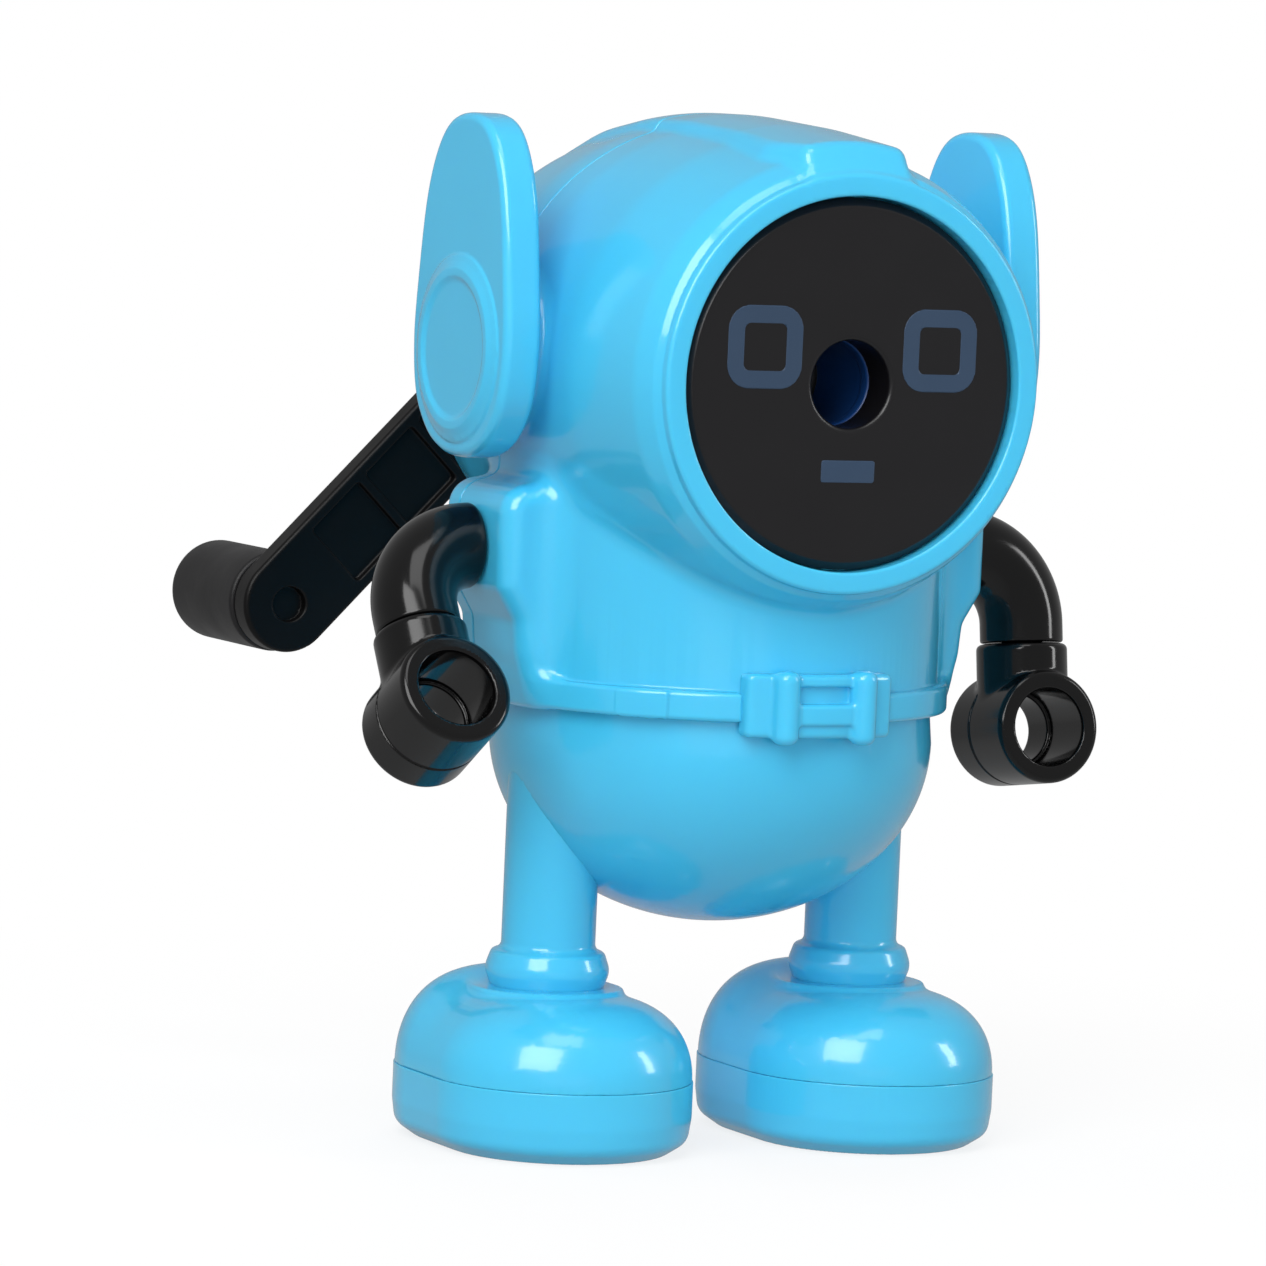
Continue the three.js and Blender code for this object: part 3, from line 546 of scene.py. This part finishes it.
def eye(x, y, z):
    u, v = x - EYE_X, z - HEAD_Z - EYE_RISE
    return printed(np.maximum(rounded_box(u, v, *EYE_OUT), -rounded_box(u, v, *EYE_IN)), y)


def mouth(x, y, z):
    return printed(rounded_box(x, z - HEAD_Z + MOUTH_DROP, *MOUTH), y)


def pencil_guide(x, y, z):
    """A tube behind the pencil hole with a flange at its front end."""
    r = np.hypot(x, z - HEAD_Z)
    front, back = guide_low[1], guide_high[1]
    tube = slab(np.abs(r - (HOLE_R + GUIDE_R) / 2) - (GUIDE_R - HOLE_R) / 2, y, front, back, 0.25)
    flange_wall = np.abs(r - (HOLE_R + GUIDE_FLANGE_R) / 2) - (GUIDE_FLANGE_R - HOLE_R) / 2
    flange = slab(flange_wall, y, front, front + 1.3, 0.25)
    return round_min(tube, flange, 0.5)


def belt_buckle(x, y, z):
    """A plate on the belt with a window above its strap, and an upright bar on each side."""
    low, high = buckle_low[2] + 0.7, buckle_high[2] - 0.4
    r = np.hypot(x, y - BODY_Y)
    plate = slab(np.abs(x) - buckle_high[0], z, low, high, 0.7)
    plate = round_max(plate, r - TORSO_R - 2.0, 0.7)
    window = slab(np.abs(x) - 3.4, z, low + 3.6, high - 1.3, 0.3)
    plate = round_max(plate, -np.maximum(window, TORSO_R + 1.2 - r), 0.4)
    strap = slab(np.abs(x) - 4.4, z, BELT_Z - 0.1, BELT_Z + 2.2, 0.5)
    strap = round_max(strap, r - TORSO_R - 2.5, 0.5)
    body = round_min(plate, strap, 0.3)
    for bar_x in (-4.7, 4.7):
        bar_r = np.hypot(x - bar_x, y - BODY_Y + TORSO_R + 1.65)
        bar = slab(bar_r - 1.45, z, buckle_low[2], buckle_high[2], 1.0)
        body = round_min(body, bar, 0.55)
    return round_max(body, TORSO_R + 0.1 - r, 0.2)


# ---------------------------------------------------------------- belly bin, legs and feet
def bowl(radius, depth, steps=40):
    """A quarter ellipse from the bin's lowest point up to its widest ring."""
    return [
        (radius * math.sin(a), BELLY_WIDEST_Z - depth * math.cos(a))
        for a in np.linspace(0, math.pi / 2, steps)
    ]


def belly_outline():
    """The bin's half section: a bowl, and a spigot that stands up inside the torso."""
    rim, top = BELT_Z - 0.06, bin_high[2]
    spigot_r = TORSO_R - WALL - 0.3
    outer = bowl(BELLY_R, BELLY_DEPTH)
    inner = bowl(BELLY_R - WALL, BELLY_DEPTH - WALL)
    spigot = rounded([
        (BELLY_R - 0.05, rim, 0.3),
        (spigot_r, rim, 0.2),
        (spigot_r, top, 0.4),
        (spigot_r - WALL, top, 0.4),
    ])
    return Outline([(CORE, outer[0][1]), *outer, *spigot, *inner[::-1], (CORE, inner[0][1])])


BELLY = belly_outline()


def belly_bin(x, y, z):
    """The bin with a socket inside for each leg, open from below."""
    back = y - BODY_Y
    r = np.hypot(x, back)
    within = np.hypot(r / BELLY_R, np.minimum(z - BELLY_WIDEST_Z, 0) / BELLY_DEPTH) - 1
    leg_r = np.hypot(np.abs(x) - LEG_X, back)
    socket = slab(leg_r - LEG_R - WALL, z, 25, leg_high[2] + 2.1, 0.3)
    socket = np.maximum(socket, within * 20 + 0.4)
    cup = round_min(BELLY(r, z), socket, 0.5)
    return drilled(cup, leg_r, LEG_R - 0.4, z, 0, leg_high[2] - 1)


# The leg with the bead at its ankle; it is hollow from below for its screw.
LEG = Outline(rounded([
    (CORE, leg_high[2], 0),
    (LEG_R, leg_high[2], 0.5),
    (LEG_R, ANKLE_Z + 2.4, 0.9),
    (ANKLE_R - 0.7, ANKLE_Z + 2.0, 0.7),
    (ANKLE_R, ANKLE_Z, 2.2),
    (ANKLE_R - 0.7, ANKLE_Z - 1.9, 0.7),
    (5.7, ANKLE_Z - 2.1, 0.4),
    (5.3, FOOT_TOP - 0.9, 0.2),
    (4.4, FOOT_TOP - 0.9, 0.2),
    (4.4, SOLE_TOP + 0.2, 0.3),
    (1.4, SOLE_TOP + 0.2, 0.1),
    (1.4, 17, 0),
    (CORE, 17, 0),
]), step=0.07)


def leg(x, y, z):
    return LEG(np.hypot(x - LEG_X, y - BODY_Y), z)


def foot_reach(x, y):
    """Distance from the foot's middle line, which has the same straight part as its outline."""
    return np.hypot(x - LEG_X, np.maximum(np.abs(y - BODY_Y) - FOOT_STRAIGHT, 0))


def dome(drop, inset):
    """The foot cover's curve from its lower edge to its top, moved in and down."""
    base = SOLE_TOP + 0.12 + drop
    rise, run = DOME_TOP - drop - base, FOOT_R - 0.12 - inset
    return [
        (run * math.cos(a) ** 0.62, base + rise * math.sin(a) ** 0.95)
        for a in np.linspace(0, math.pi / 2, 24)
    ]


DOME_TOP = FOOT_TOP - 0.45
COVER_EDGE = SOLE_TOP + 0.01
COVER = Outline([
    (CORE, DOME_TOP),
    *reversed(dome(0, 0)),
    (FOOT_R - 0.13, COVER_EDGE),
    (FOOT_R - WALL, COVER_EDGE),
    *dome(WALL - 0.9, WALL),
    (CORE, DOME_TOP - WALL),
], step=0.08)
SOLE = Outline(rounded([
    (CORE, 0, 0),
    (FOOT_R - 2.6, 0, 1.2),
    (FOOT_R - 0.35, 1.5, 1.8),
    (FOOT_R, 4, 3),
    (FOOT_R, SOLE_TOP, 0.08),
    (FOOT_R - 1, SOLE_TOP, 0),
    (CORE, SOLE_TOP, 0),
]), step=0.08)


def foot_cover(x, y, z):
    """A domed cover whose heel stands higher than its toe, with a flat disc round the ankle."""
    ankle = np.hypot(x - LEG_X, y - BODY_Y)
    heel = eased(HEEL_RISE, (y - BODY_Y + 1) / 10)
    share = np.clip((z - SOLE_TOP - 1) / (FOOT_TOP + HEEL_RISE - SOLE_TOP - 1), 0, 1)
    cover = COVER(foot_reach(x, y), z - heel * share) * 0.9
    disc = slab(ankle - 8.5, z, FOOT_TOP - 3, FOOT_TOP - 0.25, 0.3)
    cover = round_min(cover, disc, 0.8)
    return round_max(cover, 4.5 - ankle, 0.2)


def sole(x, y, z):
    """The slab under the cover, with a recess below for the head of the leg's screw."""
    ankle = np.hypot(x - LEG_X, y - BODY_Y)
    body = SOLE(foot_reach(x, y), z)
    body = round_max(body, -slab(ankle - 3.4, z, -6, 2.6, 0.1), 0.3)
    return np.maximum(body, SCREW_BORE - ankle)


# ---------------------------------------------------------------- ears
def smooth_loop(points, per_span=8):
    """A closed smooth curve through points."""
    points = np.asarray(points, float)
    curve = []
    for i in range(len(points)):
        a, b, c, d = (points[(i + k) % len(points)] for k in (-1, 0, 1, 2))
        for t in np.arange(per_span) / per_span:
            curve.append(0.5 * (2 * b + (c - a) * t + (2 * a - 5 * b + 4 * c - d) * t ** 2
                                + (3 * b - a - 3 * c + d) * t ** 3))
    return curve


def ear_outline():
    """The ear seen from the side: shares of its half width, at shares of its height."""
    half = (ear_high[1] - ear_low[1]) / 2
    tall = ear_high[2] - ear_low[2]
    side = [(0, 1), (0.38, 0.976), (0.65, 0.89), (0.84, 0.743), (0.955, 0.516), (1, 0.33),
            (0.91, 0.168), (0.645, 0.061), (0.32, 0.011), (0, 0)]
    loop = side + [(-u, v) for u, v in side[-2:0:-1]]
    return Outline(smooth_loop([(u * half, ear_low[2] + v * tall) for u, v in loop]))


EAR = ear_outline()


# The ear's round boss: a sloping rim, a raised lip and a shallow dish.
EAR_FACE = ear_low[0] + EAR_THICK
BOSS = Outline(rounded([
    (CORE, EAR_FACE - 2, 0),
    (10.25, EAR_FACE - 2, 0),
    (10.25, EAR_FACE + 0.18, 0.2),
    (9.5, EAR_FACE + 0.42, 0.5),
    (8.75, ear_high[0], 0.35),
    (7.9, ear_high[0], 0.35),
    (7.3, ear_high[0] - 0.32, 0.8),
    (CORE, ear_high[0] - 0.32, 0),
]), step=0.05)


def ear(x, y, z):
    """The ear's plate with its boss, and a blind bore on the inner side for the pin."""
    plate = slab(EAR(y, z), x, ear_low[0], EAR_FACE, 0.95)
    pivot_r = np.hypot(y, z - EAR_Z)
    body = round_min(plate, BOSS(pivot_r, x), 0.3)
    return drilled(body, pivot_r, EAR_BORE, x, 0, 32.4)


# ---------------------------------------------------------------- arms and hands
def arm(x, y, z):
    """Elbow and forearm, with the shoulder axis through the origin and the forearm hanging down."""
    root = ARM_X - ELBOW_R
    across, down = x - root, z + ELBOW_R
    off_bend = np.abs(np.hypot(across, down) - ELBOW_R)
    off_straights = np.where(down < 0, np.abs(across - ELBOW_R), np.abs(down - ELBOW_R))
    off_line = np.where((across >= 0) & (down >= 0), off_bend, off_straights)
    tube = np.hypot(off_line, y) - ARM_R
    tube = round_max(tube, root - x, 0.6)
    tube = round_max(tube, -WRIST + 0.02 - z, 0.35)
    peg = slab(np.hypot(x - ARM_X, y) - 2.2, z, -WRIST - 3.6, -WRIST + 2, 0.2)
    return drilled(np.minimum(tube, peg), np.hypot(y, z), SHOULDER_BORE, x, 0, 34.3)


def hand(x, y, z):
    """A short ring below a cuff, drawn like the arm; the ring's axis points forward."""
    r = np.hypot(x - ARM_X, z + HAND_DROP)
    ring = slab(r - HAND_R, y, -HAND_HALF, HAND_HALF, 0.75)
    ring = np.maximum(ring, 0.24 - np.hypot(r - HAND_R, y - HAND_SPLIT))
    cuff_r = np.hypot(x - ARM_X, y)
    cuff = slab(cuff_r - 5.15, z, -HAND_DROP + 1, -WRIST - 0.1, 0.7)
    body = round_min(ring, cuff, 0.5)
    body = round_max(body, HAND_BORE - r, 0.7)
    front_bore = slab(r - HAND_BORE - 0.45, y, -HAND_HALF - 5, HAND_SPLIT, 0.1)
    body = round_max(body, -front_bore, 0.35)
    return np.maximum(body, -slab(cuff_r - 2.3, z, -WRIST - 3.9, 5, 0.1))


# ---------------------------------------------------------------- crank
def crank_arm(x, y, z):
    """The crank's arm along +X from its hub, with three shallow panels and a dimple in its front."""
    reach = np.hypot(x - np.clip(x, 0, CRANK_REACH), z)
    bar = slab(reach - CRANK_R, y, CRANK_FRONT, crank_high[1], 0.55)
    hub_r = np.hypot(x, z)
    hub = slab(hub_r - CRANK_HUB_R, y, CRANK_FRONT, crank_high[1], 0.5)
    neck = slab(hub_r - CRANK_NECK_R, y, crank_low[1], CRANK_FRONT + 1, 0.3)
    body = round_min(round_min(bar, hub, 0.8), neck, 0.5)
    for start, end in ((8.6, 16.6), (17.8, 25.8), (27, 35)):
        panel = rounded_box(x - (start + end) / 2, z, (end - start) / 2, 4.2, 0.5)
        body = round_max(body, -slab(panel, y, CRANK_FRONT - 3, CRANK_FRONT + 0.9, 0.1), 0.3)
    knob_r = np.hypot(x - CRANK_REACH, z)
    dimple = slab(knob_r - 2, y, CRANK_FRONT - 3, CRANK_FRONT + 1.12, 0.1)
    body = round_max(body, -dimple, 0.3)
    body = drilled(body, knob_r, 1.66, y, CRANK_FRONT + 1.9, BEYOND)
    body = drilled(body, hub_r, SHAFT_BORE, y, 0, crank_high[1] - 0.8)
    return drilled(body, hub_r, SCREW_BORE, y, 0, BEYOND)


def crank_knob(x, y, z):
    """The knob with a domed end, and a blind bore from the front for its pin."""
    r = np.hypot(x, z)
    end = knob_high[1]
    body = slab(r - KNOB_R, y, knob_low[1], end, 0.5)
    body = round_max(body, np.hypot(r, y - end + 13) - 13, 1.2)
    return drilled(body, r, 1.68, y, 0, end - 2.4)


# ---------------------------------------------------------------- screws and bearing
def screw(head_r, tip, top):
    """The field of a cross-head screw along Y, from its tip to the top of its head."""
    seat = top - SCREW_HEAD_TALL
    crown = 2 * head_r
    arm_width, arm_reach = 0.14 * head_r, 0.55 * head_r

    def field(x, y, z):
        r = np.hypot(x, z)
        turn = (y / THREAD + np.arctan2(z, x) / (2 * math.pi)) % 1
        thread = SCREW_SHANK_R - 0.5 * THREAD * np.abs(turn - 0.5)
        point = r - SCREW_SHANK_R + 0.3 * (tip + 1.2 - y)
        shank = np.maximum(slab(r - thread, y, tip, seat + 0.4, 0.2), point) * 0.8
        head = slab(r - head_r, y, seat, top, 0.3)
        head = round_max(head, np.hypot(r, y - top + crown) - crown, 0.3)
        cross = np.minimum(np.maximum(np.abs(x) - arm_width, np.abs(z) - arm_reach),
                           np.maximum(np.abs(z) - arm_width, np.abs(x) - arm_reach))
        recess = np.maximum(cross, top - 0.85 - y)
        return round_max(np.minimum(shank, head), -recess, 0.12)
    return field


def screw_skin(node, head_r, head_below=False):
    """A screw in the place of its CAD node, with its head at the back, or below."""
    low, high = span(node)
    tip, top = (-high[2], -low[2]) if head_below else (low[1], high[1])
    made = surface(screw(head_r, tip, top), (-head_r, tip, -head_r), (head_r, top, head_r), 0.2)
    turn = Matrix.Rotation(-math.pi / 2 if head_below else 0, 3, "X")
    middle = (low + high) / 2
    middle[2 if head_below else 1] = 0
    return turned_by(made, turn, middle)


def rear_bearing(x, y, z):
    """A flanged bush round the crank shaft."""
    r = np.hypot(x, z - CRANK_AT[2])
    bush = slab(r - BEARING_R, y, bearing_low[1], bearing_high[1], 0.3)
    flange = slab(r - BEARING_FLANGE_R, y, bearing_high[1] - 1, bearing_high[1], 0.3)
    return round_max(round_min(bush, flange, 0.2), BEARING_BORE - r, 0.25)


# ---------------------------------------------------------------- materials
COLOUR_NOISE = 45
GLOSS_NOISE = 160
GRAIN_NOISE = 900


def shader(name):
    material = bpy.data.materials.new(name)
    material.use_nodes = True
    nodes, links = material.node_tree.nodes, material.node_tree.links
    return material, nodes, links, nodes["Principled BSDF"]


def noise(nodes, links, scale, detail=3.0):
    """Noise with this many features to the metre."""
    where = nodes.new("ShaderNodeTexCoord")
    texture = nodes.new("ShaderNodeTexNoise")
    texture.inputs["Scale"].default_value = scale
    texture.inputs["Detail"].default_value = detail
    links.new(where.outputs["Object"], texture.inputs["Vector"])
    return texture.outputs["Fac"]


def ranged(nodes, links, value, low, high):
    """The usual span of a noise value, mapped from low to high."""
    spread = nodes.new("ShaderNodeMapRange")
    spread.inputs["From Min"].default_value = 0.3
    spread.inputs["From Max"].default_value = 0.7
    spread.inputs["To Min"].default_value = low
    spread.inputs["To Max"].default_value = high
    links.new(value, spread.inputs["Value"])
    return spread.outputs["Result"]


def linear(colour):
    """A screen colour as linear light."""
    return [c / 12.92 if c <= 0.04045 else ((c + 0.055) / 1.055) ** 2.4 for c in colour]


def look(name, colour, shade, roughness, spread, grain, metal=0.0, coat=0.0, soft=0.0, gleam=0.5):
    """A moulded or machined surface: drifting colour, uneven gloss and a fine grain.

    The colour drifts to this shade of it, the roughness by the spread, and grain is the bump's strength.
    """
    material, nodes, links, paint = shader(name)
    mix = nodes.new("ShaderNodeMix")
    mix.data_type = "RGBA"
    mix.inputs["A"].default_value = (*linear(colour), 1)
    mix.inputs["B"].default_value = (*linear([c * shade for c in colour]), 1)
    links.new(ranged(nodes, links, noise(nodes, links, COLOUR_NOISE), 0, 1), mix.inputs["Factor"])
    links.new(mix.outputs["Result"], paint.inputs["Base Color"])
    uneven = ranged(nodes, links, noise(nodes, links, GLOSS_NOISE), roughness - spread, roughness + spread)
    links.new(uneven, paint.inputs["Roughness"])
    bump = nodes.new("ShaderNodeBump")
    bump.inputs["Strength"].default_value = grain
    bump.inputs["Distance"].default_value = 0.00005
    links.new(noise(nodes, links, GRAIN_NOISE, 2), bump.inputs["Height"])
    links.new(bump.outputs["Normal"], paint.inputs["Normal"])
    paint.inputs["Metallic"].default_value = metal
    paint.inputs["Coat Weight"].default_value = coat
    paint.inputs["Coat Roughness"].default_value = 0.05
    paint.inputs["Specular IOR Level"].default_value = gleam
    if soft:
        paint.inputs["Subsurface Weight"].default_value = soft
        paint.inputs["Subsurface Radius"].default_value = (0.6, 1.0, 1.4)
        paint.inputs["Subsurface Scale"].default_value = 0.0012
    return material


BLUE = look("blue_plastic", (0.262, 0.737, 0.902), 0.98, 0.22, 0.015, 0.03, coat=0.55, soft=0.25)
BLACK = look("black_plastic", (0.028, 0.027, 0.029), 0.8, 0.14, 0.03, 0.04, coat=0.05, gleam=0.38)
SATIN = look("satin_black", (0.028, 0.026, 0.028), 0.85, 0.4, 0.05, 0.25, gleam=0.2)
KNOB_GREY = look("knob_grey", (0.085, 0.082, 0.088), 0.88, 0.45, 0.05, 0.3, gleam=0.35)
FACE_BLACK = look("face_black", (0.056, 0.053, 0.064), 0.92, 0.3, 0.02, 0.06)
INK = look("face_ink", (0.17, 0.25, 0.345), 0.93, 0.42, 0.04, 0.2)
NAVY = look("navy_plastic", (0.06, 0.22, 0.44), 0.8, 0.4, 0.05, 0.2)
STEEL = look("steel", (0.72, 0.73, 0.75), 0.85, 0.28, 0.08, 0.2, metal=1.0)
TOOL_STEEL = look("cutter_steel", (0.56, 0.57, 0.6), 0.8, 0.34, 0.08, 0.25, metal=1.0)
BRASS = look("brass", (0.79, 0.63, 0.29), 0.85, 0.32, 0.06, 0.2, metal=1.0)
NYLON = look("white_nylon", (0.9, 0.89, 0.85), 0.95, 0.5, 0.05, 0.3, soft=0.3)
ZINC = look("zinc", (0.62, 0.64, 0.66), 0.85, 0.48, 0.08, 0.5, metal=0.85)


# ---------------------------------------------------------------- assembly
SIDES = ("left", "right")

add("moulded_front_shell", half_of_housing(True), BLUE, "upper_unit", "front_shell")
add("moulded_rear_shell", half_of_housing(False), BLUE, "upper_unit", "rear_shell")

near_face = ((), [(FACE_Y - 0.4, FACE_Y + 1.2, 0.15)], ())
add("moulded_face_plate", surface(face_plate, face_low, face_high, 0.28, near_face),
    FACE_BLACK, "upper_unit", "face_plate")
eye_low = np.array((EYE_X - 4.6, FACE_Y - 0.1, HEAD_Z + EYE_RISE - 4.6))
eye_high = np.array((EYE_X + 4.6, FACE_Y + 0.2, HEAD_Z + EYE_RISE + 4.6))
thin = ((), [(FACE_Y - 1, FACE_Y + 1, 0.05)], ())
left_eye = surface(eye, eye_low, eye_high, 0.2, thin)
add("left_eye", left_eye, INK, "upper_unit", None)
add("right_eye", mirrored(left_eye), INK, "upper_unit", None)
mouth_low = np.array((-3.4, FACE_Y - 0.1, HEAD_Z - MOUTH_DROP - 1.4))
mouth_high = np.array((3.4, FACE_Y + 0.2, HEAD_Z - MOUTH_DROP + 1.4))
add("mouth", surface(mouth, mouth_low, mouth_high, 0.15, thin), INK, "upper_unit", None)
add("moulded_pencil_guide", surface(pencil_guide, guide_low, guide_high, 0.3),
    NAVY, "upper_unit", "pencil_guide")
add("moulded_belt_buckle", surface(belt_buckle, buckle_low, buckle_high, 0.2),
    BLUE, "upper_unit", "belt_buckle")

near_rim = ((), (), [(BELT_Z - 0.6, BELT_Z, 0.2)])
add("moulded_belly_bin", surface(belly_bin, bin_low, bin_high, 0.42, near_rim),
    BLUE, "lower_unit", "belly_bin")
near_seam = ((), (), [(SOLE_TOP - 0.3, SOLE_TOP + 0.6, 0.12)])
for name, body, make, low, high, step, fine in (
    ("leg", "lower_unit", leg, leg_low, leg_high, 0.28, PLAIN),
    ("foot_cover", "lower_unit", foot_cover, cover_low, cover_high, 0.33, near_seam),
    ("sole", "lower_unit", sole, sole_low, sole_high, 0.35, near_seam),
    ("ear", None, ear, ear_low, ear_high, 0.3, PLAIN),
):
    left_skin = surface(make, low, high, step, fine)
    for side, skin in zip(SIDES, (left_skin, mirrored(left_skin))):
        add(f"moulded_{side}_{name}", skin, BLUE, body or f"{side}_ear", f"{side}_{name}")

arm_skin = surface(arm, (ARM_X - ELBOW_R, -ARM_R, -WRIST - 4), (ARM_X + ARM_R, ARM_R, ARM_R), 0.25)
hand_skin = surface(
    hand,
    (ARM_X - HAND_R, -HAND_HALF, -HAND_DROP - HAND_R),
    (ARM_X + HAND_R, HAND_HALF, -WRIST),
    0.25,
    ((), [(HAND_SPLIT - 0.5, HAND_SPLIT + 0.5, 0.1)], ()),
    keep=0.4,
)
for side in SIDES:
    down = joint_point(f"{side}_wrist")[1:] - joint_point(f"{side}_shoulder")[1:]
    swing = Matrix.Rotation(math.atan2(down[0], -down[1]), 3, "X")
    for name, skin in (("arm", arm_skin), ("hand", hand_skin)):
        placed = turned_by(skin if side == "left" else mirrored(skin), swing, (0, SHOULDER[1], SHOULDER[2]))
        add(f"moulded_{side}_{name}", placed, BLACK, f"{side}_{name}", f"{side}_{name}")

# The samples start 0.1 off the neck's flat end, because samples exactly on a flat face make sliver faces.
crank_skin = surface(
    crank_arm,
    (-CRANK_HUB_R, crank_low[1] - 0.1, -CRANK_HUB_R),
    (CRANK_REACH + CRANK_R, crank_high[1], CRANK_HUB_R),
    0.28,
    keep=0.35,
)
turn = Matrix.Rotation(-CRANK_ANGLE, 3, "Y")
add("moulded_crank_arm", turned_by(crank_skin, turn, (CRANK_AT[0], 0, CRANK_AT[2])),
    SATIN, "crank", "crank_arm")
knob_skin = surface(crank_knob, (-KNOB_R, knob_low[1], -KNOB_R), (KNOB_R, knob_high[1], KNOB_R), 0.3)
add("moulded_crank_knob", turned_by(knob_skin, np.eye(3), (KNOB_AT[0], 0, KNOB_AT[2])),
    KNOB_GREY, "knob", "crank_knob")

for node in HOUSING_SCREWS:
    add(f"turned_{node}", screw_skin(node, 2.5), STEEL, "upper_unit", node)
for side in SIDES:
    node = f"{side}_leg_screw"
    made = screw_skin(node, 2.8, head_below=True)
    add(f"turned_{node}", made, STEEL, "lower_unit", node)
add("turned_crank_screw", screw_skin("crank_screw", 3.4), STEEL, "crank", "crank_screw")
add("moulded_rear_bearing", surface(rear_bearing, bearing_low, bearing_high, 0.28),
    NYLON, "upper_unit", "rear_bearing")

LOOKS = {
    "steel": STEEL, "cutter_steel": TOOL_STEEL, "brass": BRASS, "white_nylon": NYLON, "zinc": ZINC,
    "blue_plastic": BLUE, "black_plastic": BLACK, "satin_black": SATIN, "face_black": FACE_BLACK,
    "navy_plastic": NAVY,
}
for part in frame["record"]["subparts"]:
    solid = frame["nodes"][part["node"]]
    solid.data.materials.clear()
    solid.data.materials.append(LOOKS[part["material_slot"]])

# ---------------------------------------------------------------- floor, lights and camera
AZIMUTH, ELEVATION, ROLL = math.radians(-26.7), math.radians(4.58), math.radians(2.52)
RIGHT = Vector((math.cos(AZIMUTH), math.sin(AZIMUTH), 0))
BACK = Vector((math.sin(AZIMUTH) * math.cos(ELEVATION), -math.cos(AZIMUTH) * math.cos(ELEVATION),
               math.sin(ELEVATION)))
UP = BACK.cross(RIGHT)
AIM = Vector((-0.0068, 0.0069, 0.0559)) + Vector(HOME * MM)
CAMERA_AWAY = 0.78474
LENS = 200.18
ROOM_LIGHT = 0.36  # how bright the white surroundings are to the object, against 1 to the camera


def seen_or_felt(nodes, links, felt):
    """1 where the camera looks straight at it, and this value for every other ray."""
    path = nodes.new("ShaderNodeLightPath")
    amount = nodes.new("ShaderNodeMapRange")
    amount.inputs["To Min"].default_value = felt
    links.new(path.outputs["Is Camera Ray"], amount.inputs["Value"])
    return amount.outputs["Result"]


def studio_floor():
    """A pale floor that keeps a faint contact shadow and fades to white further out."""
    reach = 9
    corners = [(-reach, -reach, 0), (reach, -reach, 0), (reach, reach, 0), (-reach, reach, 0)]
    floor = bpy.data.objects.new("floor", new_mesh("floor", corners, [(0, 1, 2, 3)]))
    material, nodes, links, paint = shader("floor")
    paint.inputs["Base Color"].default_value = (0.9, 0.9, 0.9, 1)
    paint.inputs["Roughness"].default_value = 0.9
    glow = nodes.new("ShaderNodeEmission")
    links.new(seen_or_felt(nodes, links, ROOM_LIGHT), glow.inputs["Strength"])
    place = nodes.new("ShaderNodeNewGeometry")
    distance = nodes.new("ShaderNodeVectorMath")
    distance.operation = "LENGTH"
    links.new(place.outputs["Position"], distance.inputs[0])
    fade = nodes.new("ShaderNodeMapRange")
    fade.inputs["From Min"].default_value = 0.03
    fade.inputs["From Max"].default_value = 0.16
    fade.inputs["To Min"].default_value = 0.8
    links.new(distance.outputs["Value"], fade.inputs["Value"])
    mix = nodes.new("ShaderNodeMixShader")
    links.new(fade.outputs["Result"], mix.inputs["Fac"])
    links.new(paint.outputs["BSDF"], mix.inputs[1])
    links.new(glow.outputs["Emission"], mix.inputs[2])
    links.new(mix.outputs["Shader"], nodes["Material Output"].inputs["Surface"])
    floor.data.materials.append(material)
    bpy.context.scene.collection.objects.link(floor)


def studio_world():
    world = bpy.data.worlds.new("studio")
    bpy.context.scene.world = world
    world.use_nodes = True
    nodes, links = world.node_tree.nodes, world.node_tree.links
    nodes["Background"].inputs["Color"].default_value = (1, 1, 1, 1)
    links.new(seen_or_felt(nodes, links, ROOM_LIGHT), nodes["Background"].inputs["Strength"])


def area_light(name, right, up, back, wide, tall, power, mirrored_in_gloss=True):
    """A soft box placed against the camera's own directions, facing the object."""
    lamp = bpy.data.lights.new(name, "AREA")
    lamp.shape = "RECTANGLE"
    lamp.size, lamp.size_y, lamp.energy = wide, tall, power
    holder = bpy.data.objects.new(name, lamp)
    place = AIM + RIGHT * right + UP * up + BACK * back
    holder.location = place
    holder.rotation_euler = (place - AIM).to_track_quat("Z", "Y").to_euler()
    holder.visible_glossy = mirrored_in_gloss
    bpy.context.scene.collection.objects.link(holder)


studio_floor()
studio_world()
area_light("overhead", 0.02, 0.75, 0.36, 0.4, 0.34, 1.1)
area_light("key", -0.22, 0.42, 0.68, 0.5, 0.56, 5)
area_light("fill", 0.1, -0.2, 0.9, 0.7, 0.5, 9, mirrored_in_gloss=False)
area_light("side", 0.8, 0.25, 0.05, 0.12, 0.4, 1.2)
area_light("rim", -0.7, 0.4, -0.2, 0.4, 0.5, 1.0, mirrored_in_gloss=False)
area_light("behind", 0.15, 0.35, -0.9, 0.7, 0.6, 6, mirrored_in_gloss=False)

camera = bpy.data.objects.new("camera", bpy.data.cameras.new("camera"))
camera.data.lens = LENS
camera.data.clip_start = 0.01
axes = Matrix((RIGHT, UP, BACK)).transposed().to_4x4()
camera.matrix_world = Matrix.Translation(AIM + BACK * CAMERA_AWAY) @ axes @ Matrix.Rotation(ROLL, 4, "Z")
bpy.context.scene.collection.objects.link(camera)
bpy.context.scene.camera = camera
bpy.context.scene.view_settings.view_transform = "Standard"
